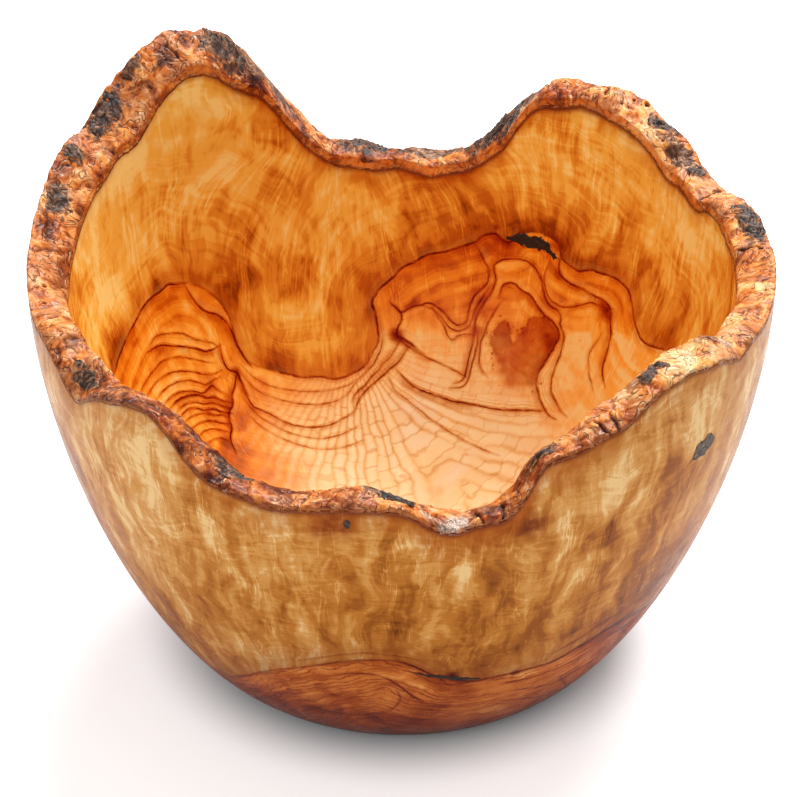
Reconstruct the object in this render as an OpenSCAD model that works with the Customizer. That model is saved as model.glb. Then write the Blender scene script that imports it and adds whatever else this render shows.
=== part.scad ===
// A wooden bowl turned on a lathe from one log, with the log's natural edge left as its rim.
// The origin is the middle of the flat foot. +Z is up, and -Y is the front, where the rim dips lowest.

/* [Bowl] */
// Outer diameter of the upright upper wall
bowl_width = 200; // [170:1:230]
// Diameter of the flat foot
foot_width = 110; // [90:1:130]
// Height at which the wall becomes upright
belly_height = 116; // [104:1:128]
// Thickness of the wall at the rim
wall = 10; // [8:0.5:13]
// Thickness of the wood in the middle of the floor
floor_thickness = 14; // [10:1:20]

/* [Natural edge] */
// Height about which the natural edge rises and falls
edge_height = 118; // [112:1:124]
// How strongly it rises and falls, with 1 as on the real bowl
edge_swing = 1; // [0.4:0.05:1.1]
// Thickness of the bark layer at the inner wall
inner_bark = 3.5; // [2:0.25:5]
// Thickness of the bark layer at the outer wall
outer_bark = 1.5; // [1:0.25:3]
// How far the middle of the edge stands above its two sides
edge_crown = 0.8; // [0:0.1:2]
// Height of the furrows that run across the edge
furrow_height = 0.45; // [0:0.05:0.8]
// Thickness of the dark outer bark that is left on the edge
flake_thickness = 0.9; // [0.5:0.1:1.5]

/* [Knots and bark pockets] */
// Diameter of the dead knot at the right of the front
side_knot_width = 8; // [5:0.5:11]
// Diameter of the pin knot under the front edge
pin_knot_width = 2.4; // [1.5:0.1:3]
// Length of the bark pocket in the inner wall
inner_pocket_length = 21; // [12:1:26]
// Length of the bark pocket low on the outer wall
lower_pocket_length = 19; // [12:1:26]

/* [Hidden] */
$fn = 128;

outer_radius = bowl_width / 2;
foot_radius = foot_width / 2;
inner_radius = outer_radius - wall;

// The wall follows two superellipses, which bulge more than an arc of a circle does.
outer_bulge = 1.35;
outer_rise = 1.72;
inner_bulge = 2.6;
profile_steps = 26;

// The natural edge by direction: [degrees from +X, height at the outer wall, height at the inner wall].
edge_stations = [
    [0, 121, 118], [8, 122, 120], [16, 122, 122], [24, 119, 119], [32, 124, 122], [40, 129, 128],
    [47, 134, 131], [54, 133, 132], [61, 131, 130], [66, 127, 124], [70, 120, 114], [75, 109, 107],
    [79, 104, 104], [88, 103, 103], [96, 105, 105], [103, 108, 107], [108, 118, 113], [113, 129, 123],
    [118, 142, 133], [124, 149, 139], [131, 153, 145], [138, 151, 142], [145, 145, 134], [153, 138, 130],
    [162, 135, 126], [170, 129, 121], [178, 125, 115], [187, 120, 114], [196, 118, 116], [205, 118, 118],
    [213, 111, 116], [219, 115, 115], [227, 120, 116], [233, 120, 115], [238, 112, 109], [245, 105, 104],
    [253, 104, 102], [262, 106, 105], [269, 106, 104], [275, 100, 99], [281, 101, 98], [286, 103, 101],
    [290, 115, 110], [296, 117, 116], [304, 122, 121], [313, 127, 127], [321, 125, 127], [330, 121, 122],
    [340, 121, 119], [350, 121, 117]
];
edge_middle = 118;
edge_columns = 144;

// The dark flakes of outer bark: [degrees from +X, inset from the outer wall, length, width].
flakes = [
    [9, 3.5, 19, 7], [29, 5, 7, 5], [38, 3.5, 11, 5.5], [69, 4, 8, 6], [76, 6.5, 11, 6],
    [97, 4, 17, 6.5], [123, 5, 13, 8], [149, 3.5, 17, 6.5], [160, 3.5, 6, 5], [169, 4, 9, 6.5],
    [214, 4, 10, 5.5], [243, 7, 12, 5], [269, 6.5, 13, 5], [291, 6, 7, 5], [310, 6, 9, 5]
];

function edge_station(i) =
    let (count = len(edge_stations), turns = floor(i / count))
    edge_stations[i - turns * count] + [360 * turns, 0, 0];

// A smooth curve through one column of the stations, at any direction from 0 to 360 degrees.
function edge_value(direction, column) =
    let (
        i = max([for (k = [0 : len(edge_stations) - 1]) if (edge_stations[k][0] <= direction) k]),
        before = edge_station(i - 1),
        here = edge_station(i),
        next = edge_station(i + 1),
        after = edge_station(i + 2),
        span = next[0] - here[0],
        t = (direction - here[0]) / span,
        slope_here = (next[column] - before[column]) / (next[0] - before[0]) * span,
        slope_next = (after[column] - here[column]) / (after[0] - here[0]) * span
    )
    here[column] * (2 * t ^ 3 - 3 * t ^ 2 + 1) + slope_here * (t ^ 3 - 2 * t ^ 2 + t)
    + next[column] * (3 * t ^ 2 - 2 * t ^ 3) + slope_next * (t ^ 3 - t ^ 2);

// Furrows of the bark, as three waves whose counts round the bowl share no factor.
function furrow(direction, share) =
    furrow_height * (sin(29 * direction + 140 * share) + 0.7 * sin(17 * direction - 200 * share)
        + 0.6 * sin(41 * direction + 90 * share));

// Height of the natural surface at a direction, where share is 0 at the inner wall and 1 at the outer.
function edge_top(direction, share) =
    let (
        raw = edge_value(direction, 2) * (1 - share) + edge_value(direction, 1) * share,
        inside = max(0, min(1, share))
    )
    edge_height + (raw - edge_middle) * edge_swing
    + 4 * edge_crown * inside * (1 - inside) + furrow(direction, inside);

// Height of the wood under the bark layer.
function edge_bottom(direction, share) =
    edge_top(direction, 0) * (1 - share) + edge_top(direction, 1) * share
    - inner_bark + (inner_bark - outer_bark) * share;

edge_shares = [-0.6, 0.04, 0.35, 0.65, 0.96, 1.6];
under_shares = [-0.6, 0.5, 1.6];

function edge_point(direction, share, height) =
    let (r = inner_radius + wall * share)
    [r * cos(direction), r * sin(direction), height];

function column_angle(i) = 360 * i / edge_columns;

// A closed ring between an upper and a lower row of heights; rows run from the inner side to the outer.
module edge_ring(upper_shares, lower_shares, upper, lower) {
    rows = concat(
        [for (s = upper_shares) [for (i = [0 : edge_columns - 1])
            edge_point(column_angle(i), s, upper(column_angle(i), s))]],
        [for (k = [len(lower_shares) - 1 : -1 : 0]) [for (i = [0 : edge_columns - 1])
            edge_point(column_angle(i), lower_shares[k], lower(column_angle(i), lower_shares[k]))]]
    );
    count = len(rows);
    faces = [
        for (j = [0 : count - 1], i = [0 : edge_columns - 1])
            let (
                a = j * edge_columns + i,
                b = j * edge_columns + (i + 1) % edge_columns,
                c = ((j + 1) % count) * edge_columns + (i + 1) % edge_columns,
                d = ((j + 1) % count) * edge_columns + i
            )
            each [[a, b, c], [a, c, d]]
    ];
    polyhedron(points = [for (row = rows) each row], faces = faces, convexity = 8);
}

sky_height = 190;

// All that the lathe leaves below the natural edge: the solid between the outer and the inner wall.
module turned_wall() {
    outer = [for (k = [0 : profile_steps]) let (a = 90 * k / profile_steps) [
        foot_radius + (outer_radius - foot_radius) * sin(a) ^ (2 / outer_bulge),
        belly_height * (1 - cos(a) ^ (2 / outer_rise))
    ]];
    inner = [for (k = [profile_steps : -1 : 1]) let (a = 90 * k / profile_steps) [
        inner_radius * sin(a) ^ (2 / inner_bulge),
        floor_thickness + (belly_height - floor_thickness) * (1 - cos(a))
    ]];
    top = sky_height - 10;
    rotate_extrude()
        polygon(concat(
            [[0, 0]], outer, [[outer_radius, top], [inner_radius, top]], inner, [[0, floor_thickness]]
        ));
}

// The wood below the bark layer is what this ring leaves of the turned wall.
module above_wood() {
    edge_ring(
        [-0.6, 1.6], under_shares,
        function (direction, share) sky_height,
        function (direction, share) edge_bottom(direction, share)
    );
}

module bark_layer() {
    edge_ring(
        edge_shares, under_shares,
        function (direction, share) edge_top(direction, share),
        function (direction, share) edge_bottom(direction, share)
    );
}

module flake_layer() {
    edge_ring(
        edge_shares, edge_shares,
        function (direction, share) edge_top(direction, share) + flake_thickness,
        function (direction, share) edge_top(direction, share)
    );
}

// Radius of the outer and of the inner wall at a height below the belly.
function outer_at(height) =
    let (a = acos((1 - height / belly_height) ^ (outer_rise / 2)))
    foot_radius + (outer_radius - foot_radius) * sin(a) ^ (2 / outer_bulge);
function inner_at(height) =
    let (a = acos(1 - (height - floor_thickness) / (belly_height - floor_thickness)))
    inner_radius * sin(a) ^ (2 / inner_bulge);

// An uneven oval, long along Y, whose waves are shifted by its seed.
module ragged_oval(length, width, seed) {
    points = 18;
    polygon([for (k = [0 : points - 1])
        let (a = 360 * k / points, swell = 1 + 0.14 * sin(3 * a + 70 * seed) + 0.09 * sin(5 * a + 130 * seed))
        [width / 2 * swell * cos(a), length / 2 * swell * sin(a)]]);
}

// Carries a shape to a place on the wall, where its +Z points straight out and its +Y runs along the wall.
module on_wall(direction, radius, height) {
    rotate([0, 0, direction])
        translate([radius, 0, height])
            rotate([0, 90, 0])
                children();
}

// A dead branch stub, thinner towards the middle of the log, with its face just under the wall.
knot_sink = 0.5;
knot_taper = 0.6;
module knot_stub(direction, height, width, depth) {
    on_wall(direction, outer_at(height) - knot_sink - depth, height)
        cylinder(h = depth, r1 = width / 2 * knot_taper, r2 = width / 2);
}

// The hole that such a stub fills, with its open mouth.
module knot_hole(direction, height, width, depth) {
    side = [[width / 2 * knot_taper, 0], [width / 2, depth], [width / 2, depth + wall]];
    on_wall(direction, outer_at(height) - knot_sink - depth, height)
        rotate_extrude()
            polygon(concat([[0, 0]], side, [[0, depth + wall]]));
}

side_knot_direction = 320.5;
side_knot_height = 99.5;
side_knot_depth = 6.5;

pin_knot_direction = 262.5;
pin_knot_height = 100;
pin_knot_depth = 5;

pocket_depth = 4;

// A pocket of bark in the inner wall, as the space that it takes up on both sides of the wall's face.
inner_pocket_direction = 63.5;
inner_pocket_height = 82;
inner_pocket_width = 3.4;
module inner_pocket_space() {
    on_wall(inner_pocket_direction, inner_at(inner_pocket_height) - pocket_depth, inner_pocket_height)
        linear_extrude(2 * pocket_depth)
            ragged_oval(inner_pocket_length, inner_pocket_width, 1);
}

// A pocket of bark low on the outer wall, which falls towards its right end.
lower_pocket_direction = 278;
lower_pocket_height = 41;
lower_pocket_width = 2.6;
lower_pocket_tilt = 19;
module lower_pocket_space() {
    on_wall(lower_pocket_direction, outer_at(lower_pocket_height) - pocket_depth, lower_pocket_height)
        rotate([0, 0, -lower_pocket_tilt])
            linear_extrude(2.5 * pocket_depth)
                ragged_oval(lower_pocket_length, lower_pocket_width, 2);
}

module bowl_body() {
    color([0.80, 0.50, 0.22])
        difference() {
            turned_wall();
            above_wood();
            knot_hole(side_knot_direction, side_knot_height, side_knot_width, side_knot_depth);
            knot_hole(pin_knot_direction, pin_knot_height, pin_knot_width, pin_knot_depth);
            inner_pocket_space();
            lower_pocket_space();
        }
}

module bark_edge() {
    color([0.52, 0.28, 0.17])
        intersection() {
            turned_wall();
            bark_layer();
        }
}

module outer_bark_flakes() {
    color([0.19, 0.16, 0.15])
        intersection() {
            turned_wall();
            flake_layer();
            union() {
                for (k = [0 : len(flakes) - 1])
                    rotate([0, 0, flakes[k][0]])
                        translate([outer_radius - flakes[k][1], 0, 80])
                            linear_extrude(90)
                                ragged_oval(flakes[k][2], flakes[k][3], k);
            }
        }
}

module side_knot() {
    color([0.27, 0.25, 0.28])
        knot_stub(side_knot_direction, side_knot_height, side_knot_width, side_knot_depth);
}

module pin_knot() {
    color([0.20, 0.18, 0.17])
        knot_stub(pin_knot_direction, pin_knot_height, pin_knot_width, pin_knot_depth);
}

module inner_bark_pocket() {
    color([0.13, 0.06, 0.04])
        intersection() {
            turned_wall();
            inner_pocket_space();
        }
}

module lower_bark_pocket() {
    color([0.15, 0.07, 0.04])
        intersection() {
            turned_wall();
            lower_pocket_space();
        }
}

bowl_body();
bark_edge();
outer_bark_flakes();
side_knot();
pin_knot();
inner_bark_pocket();
lower_bark_pocket();
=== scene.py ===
"""A turned wooden bowl with a natural edge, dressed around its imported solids. Lengths are in metres."""

import math

import bpy
import numpy as np
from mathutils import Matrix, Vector
from mathutils.bvhtree import BVHTree


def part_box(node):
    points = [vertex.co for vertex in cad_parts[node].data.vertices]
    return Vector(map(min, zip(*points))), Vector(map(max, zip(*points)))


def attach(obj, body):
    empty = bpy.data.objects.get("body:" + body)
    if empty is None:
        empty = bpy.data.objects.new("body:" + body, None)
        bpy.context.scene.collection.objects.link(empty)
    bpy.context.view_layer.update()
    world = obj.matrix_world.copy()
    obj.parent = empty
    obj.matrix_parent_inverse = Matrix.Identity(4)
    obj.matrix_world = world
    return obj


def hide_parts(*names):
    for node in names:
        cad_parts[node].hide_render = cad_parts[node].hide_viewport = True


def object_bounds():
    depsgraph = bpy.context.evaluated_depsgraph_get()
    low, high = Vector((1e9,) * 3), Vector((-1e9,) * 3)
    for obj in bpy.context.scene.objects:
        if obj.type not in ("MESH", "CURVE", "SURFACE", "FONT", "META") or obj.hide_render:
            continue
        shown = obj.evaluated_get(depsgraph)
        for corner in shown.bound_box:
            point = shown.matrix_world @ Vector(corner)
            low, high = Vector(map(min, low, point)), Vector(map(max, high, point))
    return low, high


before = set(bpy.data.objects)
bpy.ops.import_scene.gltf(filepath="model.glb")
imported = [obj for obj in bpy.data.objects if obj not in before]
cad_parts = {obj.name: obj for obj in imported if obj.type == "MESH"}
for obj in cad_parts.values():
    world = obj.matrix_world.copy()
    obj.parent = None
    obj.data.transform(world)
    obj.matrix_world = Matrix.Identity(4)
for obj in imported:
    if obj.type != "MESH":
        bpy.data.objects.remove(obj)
cad_low, cad_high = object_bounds()

MM = 0.001
FULL_TURN = 2 * math.pi

# The photograph's view, fitted to the outline of the bowl.
PHOTO_WIDTH = 800
PHOTO_HEIGHT = 797
SENSOR_WIDTH_MM = 36
FOCAL_PX = 2517
CAMERA_ELEVATION = math.radians(32)
CAMERA_DISTANCE = 0.700
AIM = Vector((0, 0, 0.075))
AIM_PX = (401.5, 396.3)

VIEW_AHEAD = np.array([0, math.cos(CAMERA_ELEVATION), -math.sin(CAMERA_ELEVATION)])
VIEW_UP = np.array([0, math.sin(CAMERA_ELEVATION), math.cos(CAMERA_ELEVATION)])

camera_place = AIM - CAMERA_DISTANCE * Vector(VIEW_AHEAD)


def make_camera():
    data = bpy.data.cameras.new("camera")
    data.sensor_width = SENSOR_WIDTH_MM
    data.lens = FOCAL_PX * SENSOR_WIDTH_MM / PHOTO_WIDTH
    data.shift_x = (PHOTO_WIDTH / 2 - AIM_PX[0]) / PHOTO_WIDTH
    data.shift_y = (AIM_PX[1] - PHOTO_HEIGHT / 2) / PHOTO_WIDTH
    camera = bpy.data.objects.new("camera", data)
    camera.location = camera_place
    camera.rotation_euler = (math.pi / 2 - CAMERA_ELEVATION, 0, 0)
    bpy.context.scene.collection.objects.link(camera)
    bpy.context.scene.camera = camera


make_camera()


# Noise over points, for shapes and for fields that the materials read.
GRADIENT_COUNT = 256
gradients = np.random.RandomState(7).normal(size=(GRADIENT_COUNT, 3))
gradients /= np.linalg.norm(gradients, axis=1)[:, None]


def corner_gradient(ix, iy, iz, seed):
    mixed = ix * 73856093 ^ iy * 19349663 ^ iz * 83492791 ^ (seed + 1) * 2654435
    mixed = mixed ^ (mixed >> 11)
    return gradients[(mixed * 9973 >> 5) % GRADIENT_COUNT]


def noise(points, size, seed=0):
    """Smooth noise of about -1 to 1 at an array of points, with features of that size."""
    p = np.asarray(points, float) / size + 1000
    base = np.floor(p).astype(np.int64)
    f = p - base
    fade = f * f * f * (f * (f * 6 - 15) + 10)
    total = np.zeros(p.shape[:-1])
    for corner in np.ndindex(2, 2, 2):
        offset = np.array(corner)
        g = corner_gradient(*(base[..., k] + offset[k] for k in range(3)), seed)
        weight = np.prod(np.where(offset == 1, fade, 1 - fade), axis=-1)
        total += weight * np.sum(g * (f - offset), axis=-1)
    return total * 1.7


def smooth_step(low, high, value):
    t = np.clip((value - low) / (high - low), 0, 1)
    return t * t * (3 - 2 * t)


# Points and paths.
def polar(radius, direction, height):
    """Points from their distance from the axis, direction in radians and height."""
    return np.stack(np.broadcast_arrays(radius * np.cos(direction), radius * np.sin(direction), height), -1)


def direction_of(points):
    return np.arctan2(points[..., 1], points[..., 0])


def turned(directions, start):
    """How far directions lie past another one, in radians from -pi to pi."""
    return np.angle(np.exp(1j * (directions - start)))


def lengths_along(path):
    """The distance from the first point of a path to each of its points, along it."""
    return np.concatenate([[0], np.cumsum(np.linalg.norm(np.diff(path, axis=0), axis=1))])


def points_along(path, lengths, wanted):
    return np.stack([np.interp(wanted, lengths, column) for column in path.T], -1)


def catmull_rom(p0, p1, p2, p3, t):
    """The smooth curve through four points, from the second one to the third."""
    return 0.5 * (2 * p1 + (p2 - p0) * t + (2 * p0 - 5 * p1 + 4 * p2 - p3) * t ** 2
                  + (3 * p1 - p0 - 3 * p2 + p3) * t ** 3)


# The walls and the natural edge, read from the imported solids.
def tree_of(*names):
    vertices, faces = [], []
    for name in names:
        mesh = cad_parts[name].data
        start = len(vertices)
        vertices += [v.co for v in mesh.vertices]
        faces += [[start + i for i in p.vertices] for p in mesh.polygons]
    return BVHTree.FromPolygons(vertices, faces)


body_tree = tree_of("bowl_body")
bark_tree = tree_of("bark_edge")
TALLEST_DIRECTION = math.radians(131)
PROFILE_STEP = 1 * MM
RAY_START_RADIUS = 0.2
RAY_START_HEIGHT = 0.3


def radial_hit(height, start_radius, way):
    out = Vector((math.cos(TALLEST_DIRECTION), math.sin(TALLEST_DIRECTION), 0))
    place, _, _, _ = body_tree.ray_cast(out * start_radius + Vector((0, 0, height)), out * way)
    return None if place is None else math.hypot(place.x, place.y)


def even_profile(radii, heights, smoothing):
    """The profile at even steps of its length, with the facets of the solid smoothed out."""
    points = np.stack([radii, heights], axis=1)
    lengths = lengths_along(points)
    points = points_along(points, lengths, np.arange(0, lengths[-1], PROFILE_STEP))
    reach = int(3 * smoothing / PROFILE_STEP)
    kernel = np.exp(-0.5 * (np.arange(-reach, reach + 1) * PROFILE_STEP / smoothing) ** 2)
    kernel /= kernel.sum()
    before = 2 * points[0] - points[reach:0:-1]
    after = 2 * points[-1] - points[-2:-reach - 2:-1]
    padded = np.concatenate([before, points, after])
    return np.stack([np.convolve(padded[:, k], kernel, "valid") for k in range(2)], axis=1)


wall_top = cad_high.z - 16 * MM
outer_heights = np.arange(0.1 * MM, wall_top, PROFILE_STEP / 4)
outer_radii = np.array([radial_hit(z, RAY_START_RADIUS, -1) for z in outer_heights])
floor_place, _, _, _ = body_tree.ray_cast(Vector((0, 0, 0.1)), Vector((0, 0, -1)))
floor_height = floor_place.z
inner_heights = np.concatenate([
    floor_height + np.geomspace(0.05, 4, 20) * MM,
    np.arange(floor_height + 4.5 * MM, wall_top - 2 * MM, PROFILE_STEP / 4)
])
inner_radii = np.array([radial_hit(z, 0, 1) for z in inner_heights])
foot_radius = outer_radii[0]
outer_profile = even_profile(outer_radii, outer_heights, 1.5 * MM)
inner_profile = even_profile(
    np.concatenate([-inner_radii[::-1], [0], inner_radii]),
    np.concatenate([inner_heights[::-1], [floor_height], inner_heights]), 2.5 * MM)
inner_profile = inner_profile[inner_profile[:, 0] > 0]
OUTER_RADIUS = outer_profile[-1, 0]
INNER_RADIUS = inner_profile[-1, 0]


def outer_at(z):
    return np.interp(z, outer_profile[:, 1], outer_profile[:, 0])


def inner_at(z):
    return np.interp(z, inner_profile[:, 1], inner_profile[:, 0])


def across_wall(share, z):
    """Radius at a share of the way from the inner to the outer wall, at a height."""
    return inner_at(z) + share * (outer_at(z) - inner_at(z))


EDGE_COLUMNS = 144


def drop(tree, direction, radius):
    """Height of the solid's top. A ray that meets an edge between two faces may miss, so another goes beside it."""
    for beside in (0, 0.0003, -0.0003, 0.001):
        start = Vector(polar(radius, direction + beside, RAY_START_HEIGHT))
        place, _, _, _ = tree.ray_cast(start, Vector((0, 0, -1)))
        if place is not None:
            return place.z
    raise ValueError("the natural edge has a gap")


def edge_fits(tree, shares, degree):
    """For each column of the natural edge, the coefficients of its height across the wall."""
    rows = []
    for i in range(EDGE_COLUMNS):
        direction = FULL_TURN * i / EDGE_COLUMNS
        middle = drop(tree, direction, (INNER_RADIUS + OUTER_RADIUS) / 2)
        rows.append([drop(tree, direction, across_wall(s, middle)) for s in shares])
    return np.polynomial.polynomial.polyfit(shares, np.array(rows).T, degree)


edge_top_fit = edge_fits(bark_tree, [0.1, 0.36, 0.62, 0.88], 2)
wood_top_fit = edge_fits(body_tree, [0.1, 0.48, 0.86], 1)


def round_edge(coefficients, directions):
    """Smooth values between the columns, at directions in radians."""
    place = np.mod(directions / FULL_TURN, 1) * EDGE_COLUMNS
    i = np.floor(place).astype(int)
    t = place - i
    p0, p1, p2, p3 = (coefficients[:, (i + k) % EDGE_COLUMNS] for k in (-1, 0, 1, 2))
    return catmull_rom(p0, p1, p2, p3, t)


def edge_height(fit, directions, share):
    return sum(c * share ** k for k, c in enumerate(round_edge(fit, directions)))


# Places named by a pixel of the photograph, carried along the line of sight to a wall of the bowl.
def sight_points(pixels, inside):
    """Points on the far inner wall, or on the near outer wall, that the photograph shows at those pixels."""
    px = np.asarray(pixels, float)
    ray = (VIEW_AHEAD + np.outer((px[:, 0] - AIM_PX[0]) / FOCAL_PX, [1, 0, 0])
           - np.outer((px[:, 1] - AIM_PX[1]) / FOCAL_PX, VIEW_UP))
    t = np.linspace(CAMERA_DISTANCE - 0.2, CAMERA_DISTANCE + 0.2, 4001)
    at = np.array(camera_place) + ray[:, None, :] * t[None, :, None]
    beyond = np.hypot(at[..., 0], at[..., 1]) > (inner_at if inside else outer_at)(at[..., 2])
    beyond |= at[..., 2] < (floor_height if inside else 0)
    index = at.shape[1] - 1 - np.argmax(~beyond[:, ::-1], axis=1) if inside else np.argmax(~beyond, axis=1)
    return at[np.arange(len(px)), index]


def pixels_of(points):
    """The pixels of the photograph at which points in space lie."""
    offset = np.asarray(points) - np.array(camera_place)
    depth = offset @ VIEW_AHEAD
    return np.stack([AIM_PX[0] + FOCAL_PX * offset[:, 0] / depth,
                     AIM_PX[1] - FOCAL_PX * (offset @ VIEW_UP) / depth], -1)


def on_wall(direction_deg, height, inside):
    return polar((inner_at if inside else outer_at)(height), np.radians(direction_deg), height)


# The figure of the wood. Outlines are pixels of the photograph; each line also has a strength from 0 to 1.
def smooth_path(points, step):
    """The points joined by a Catmull-Rom curve, at even steps."""
    p = np.asarray(points, float)
    ends = np.concatenate([[2 * p[0] - p[1]], p, [2 * p[-1] - p[-2]]])
    pieces = []
    for i in range(len(p) - 1):
        count = max(2, int(np.linalg.norm(p[i + 1] - p[i]) / step) + 1)
        pieces.append(catmull_rom(*ends[i:i + 4], np.linspace(0, 1, count, endpoint=False)[:, None]))
    return np.concatenate(pieces + [p[-1:]])


HEART_EDGE_PX = [
    (116, 371), (118, 361), (126, 340), (137, 319), (147, 302), (160, 292), (168, 285), (185, 283),
    (200, 287), (214, 296), (224, 308), (231, 322), (236, 340), (246, 359), (258, 367), (271, 371), (287, 374),
    (300, 377), (319, 377), (336, 379), (352, 374), (365, 366), (373, 351), (379, 338), (377, 324), (375, 310),
    (373, 300), (378, 291), (390, 280), (400, 270), (415, 262), (430, 254), (445, 252), (460, 247), (474, 243),
    (484, 236), (497, 235), (504, 241), (510, 242), (517, 235), (535, 233), (546, 236), (555, 242), (560, 249),
    (561, 258), (569, 265), (578, 271), (591, 270), (602, 274), (613, 277), (624, 285), (630, 296), (633, 312),
    (636, 327), (640, 338), (649, 345), (665, 350)
]
# Where no photograph shows it, the edge of the heartwood goes on at these heights: (degrees from +X, mm).
HEART_EDGE_FRONT_INSIDE = [
    (-4, 62), (-14, 57), (-28, 46), (-45, 40), (-62, 37), (-80, 36), (-100, 38),
    (-118, 42), (-136, 50), (-150, 60), (-160, 68)
]
HEART_EDGE_OUTSIDE_PX = [
    (231, 679), (266, 672), (318, 665), (378, 660), (413, 665), (448, 677), (473, 681),
    (515, 672), (553, 661), (589, 640), (617, 623), (641, 609), (652, 602)
]
HEART_EDGE_OUTSIDE_BACK = [
    (-8, 58), (8, 72), (22, 84), (36, 80), (50, 66), (70, 50), (92, 44), (115, 48),
    (138, 56), (158, 70), (172, 80), (186, 72), (200, 46), (212, 27)
]

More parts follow.
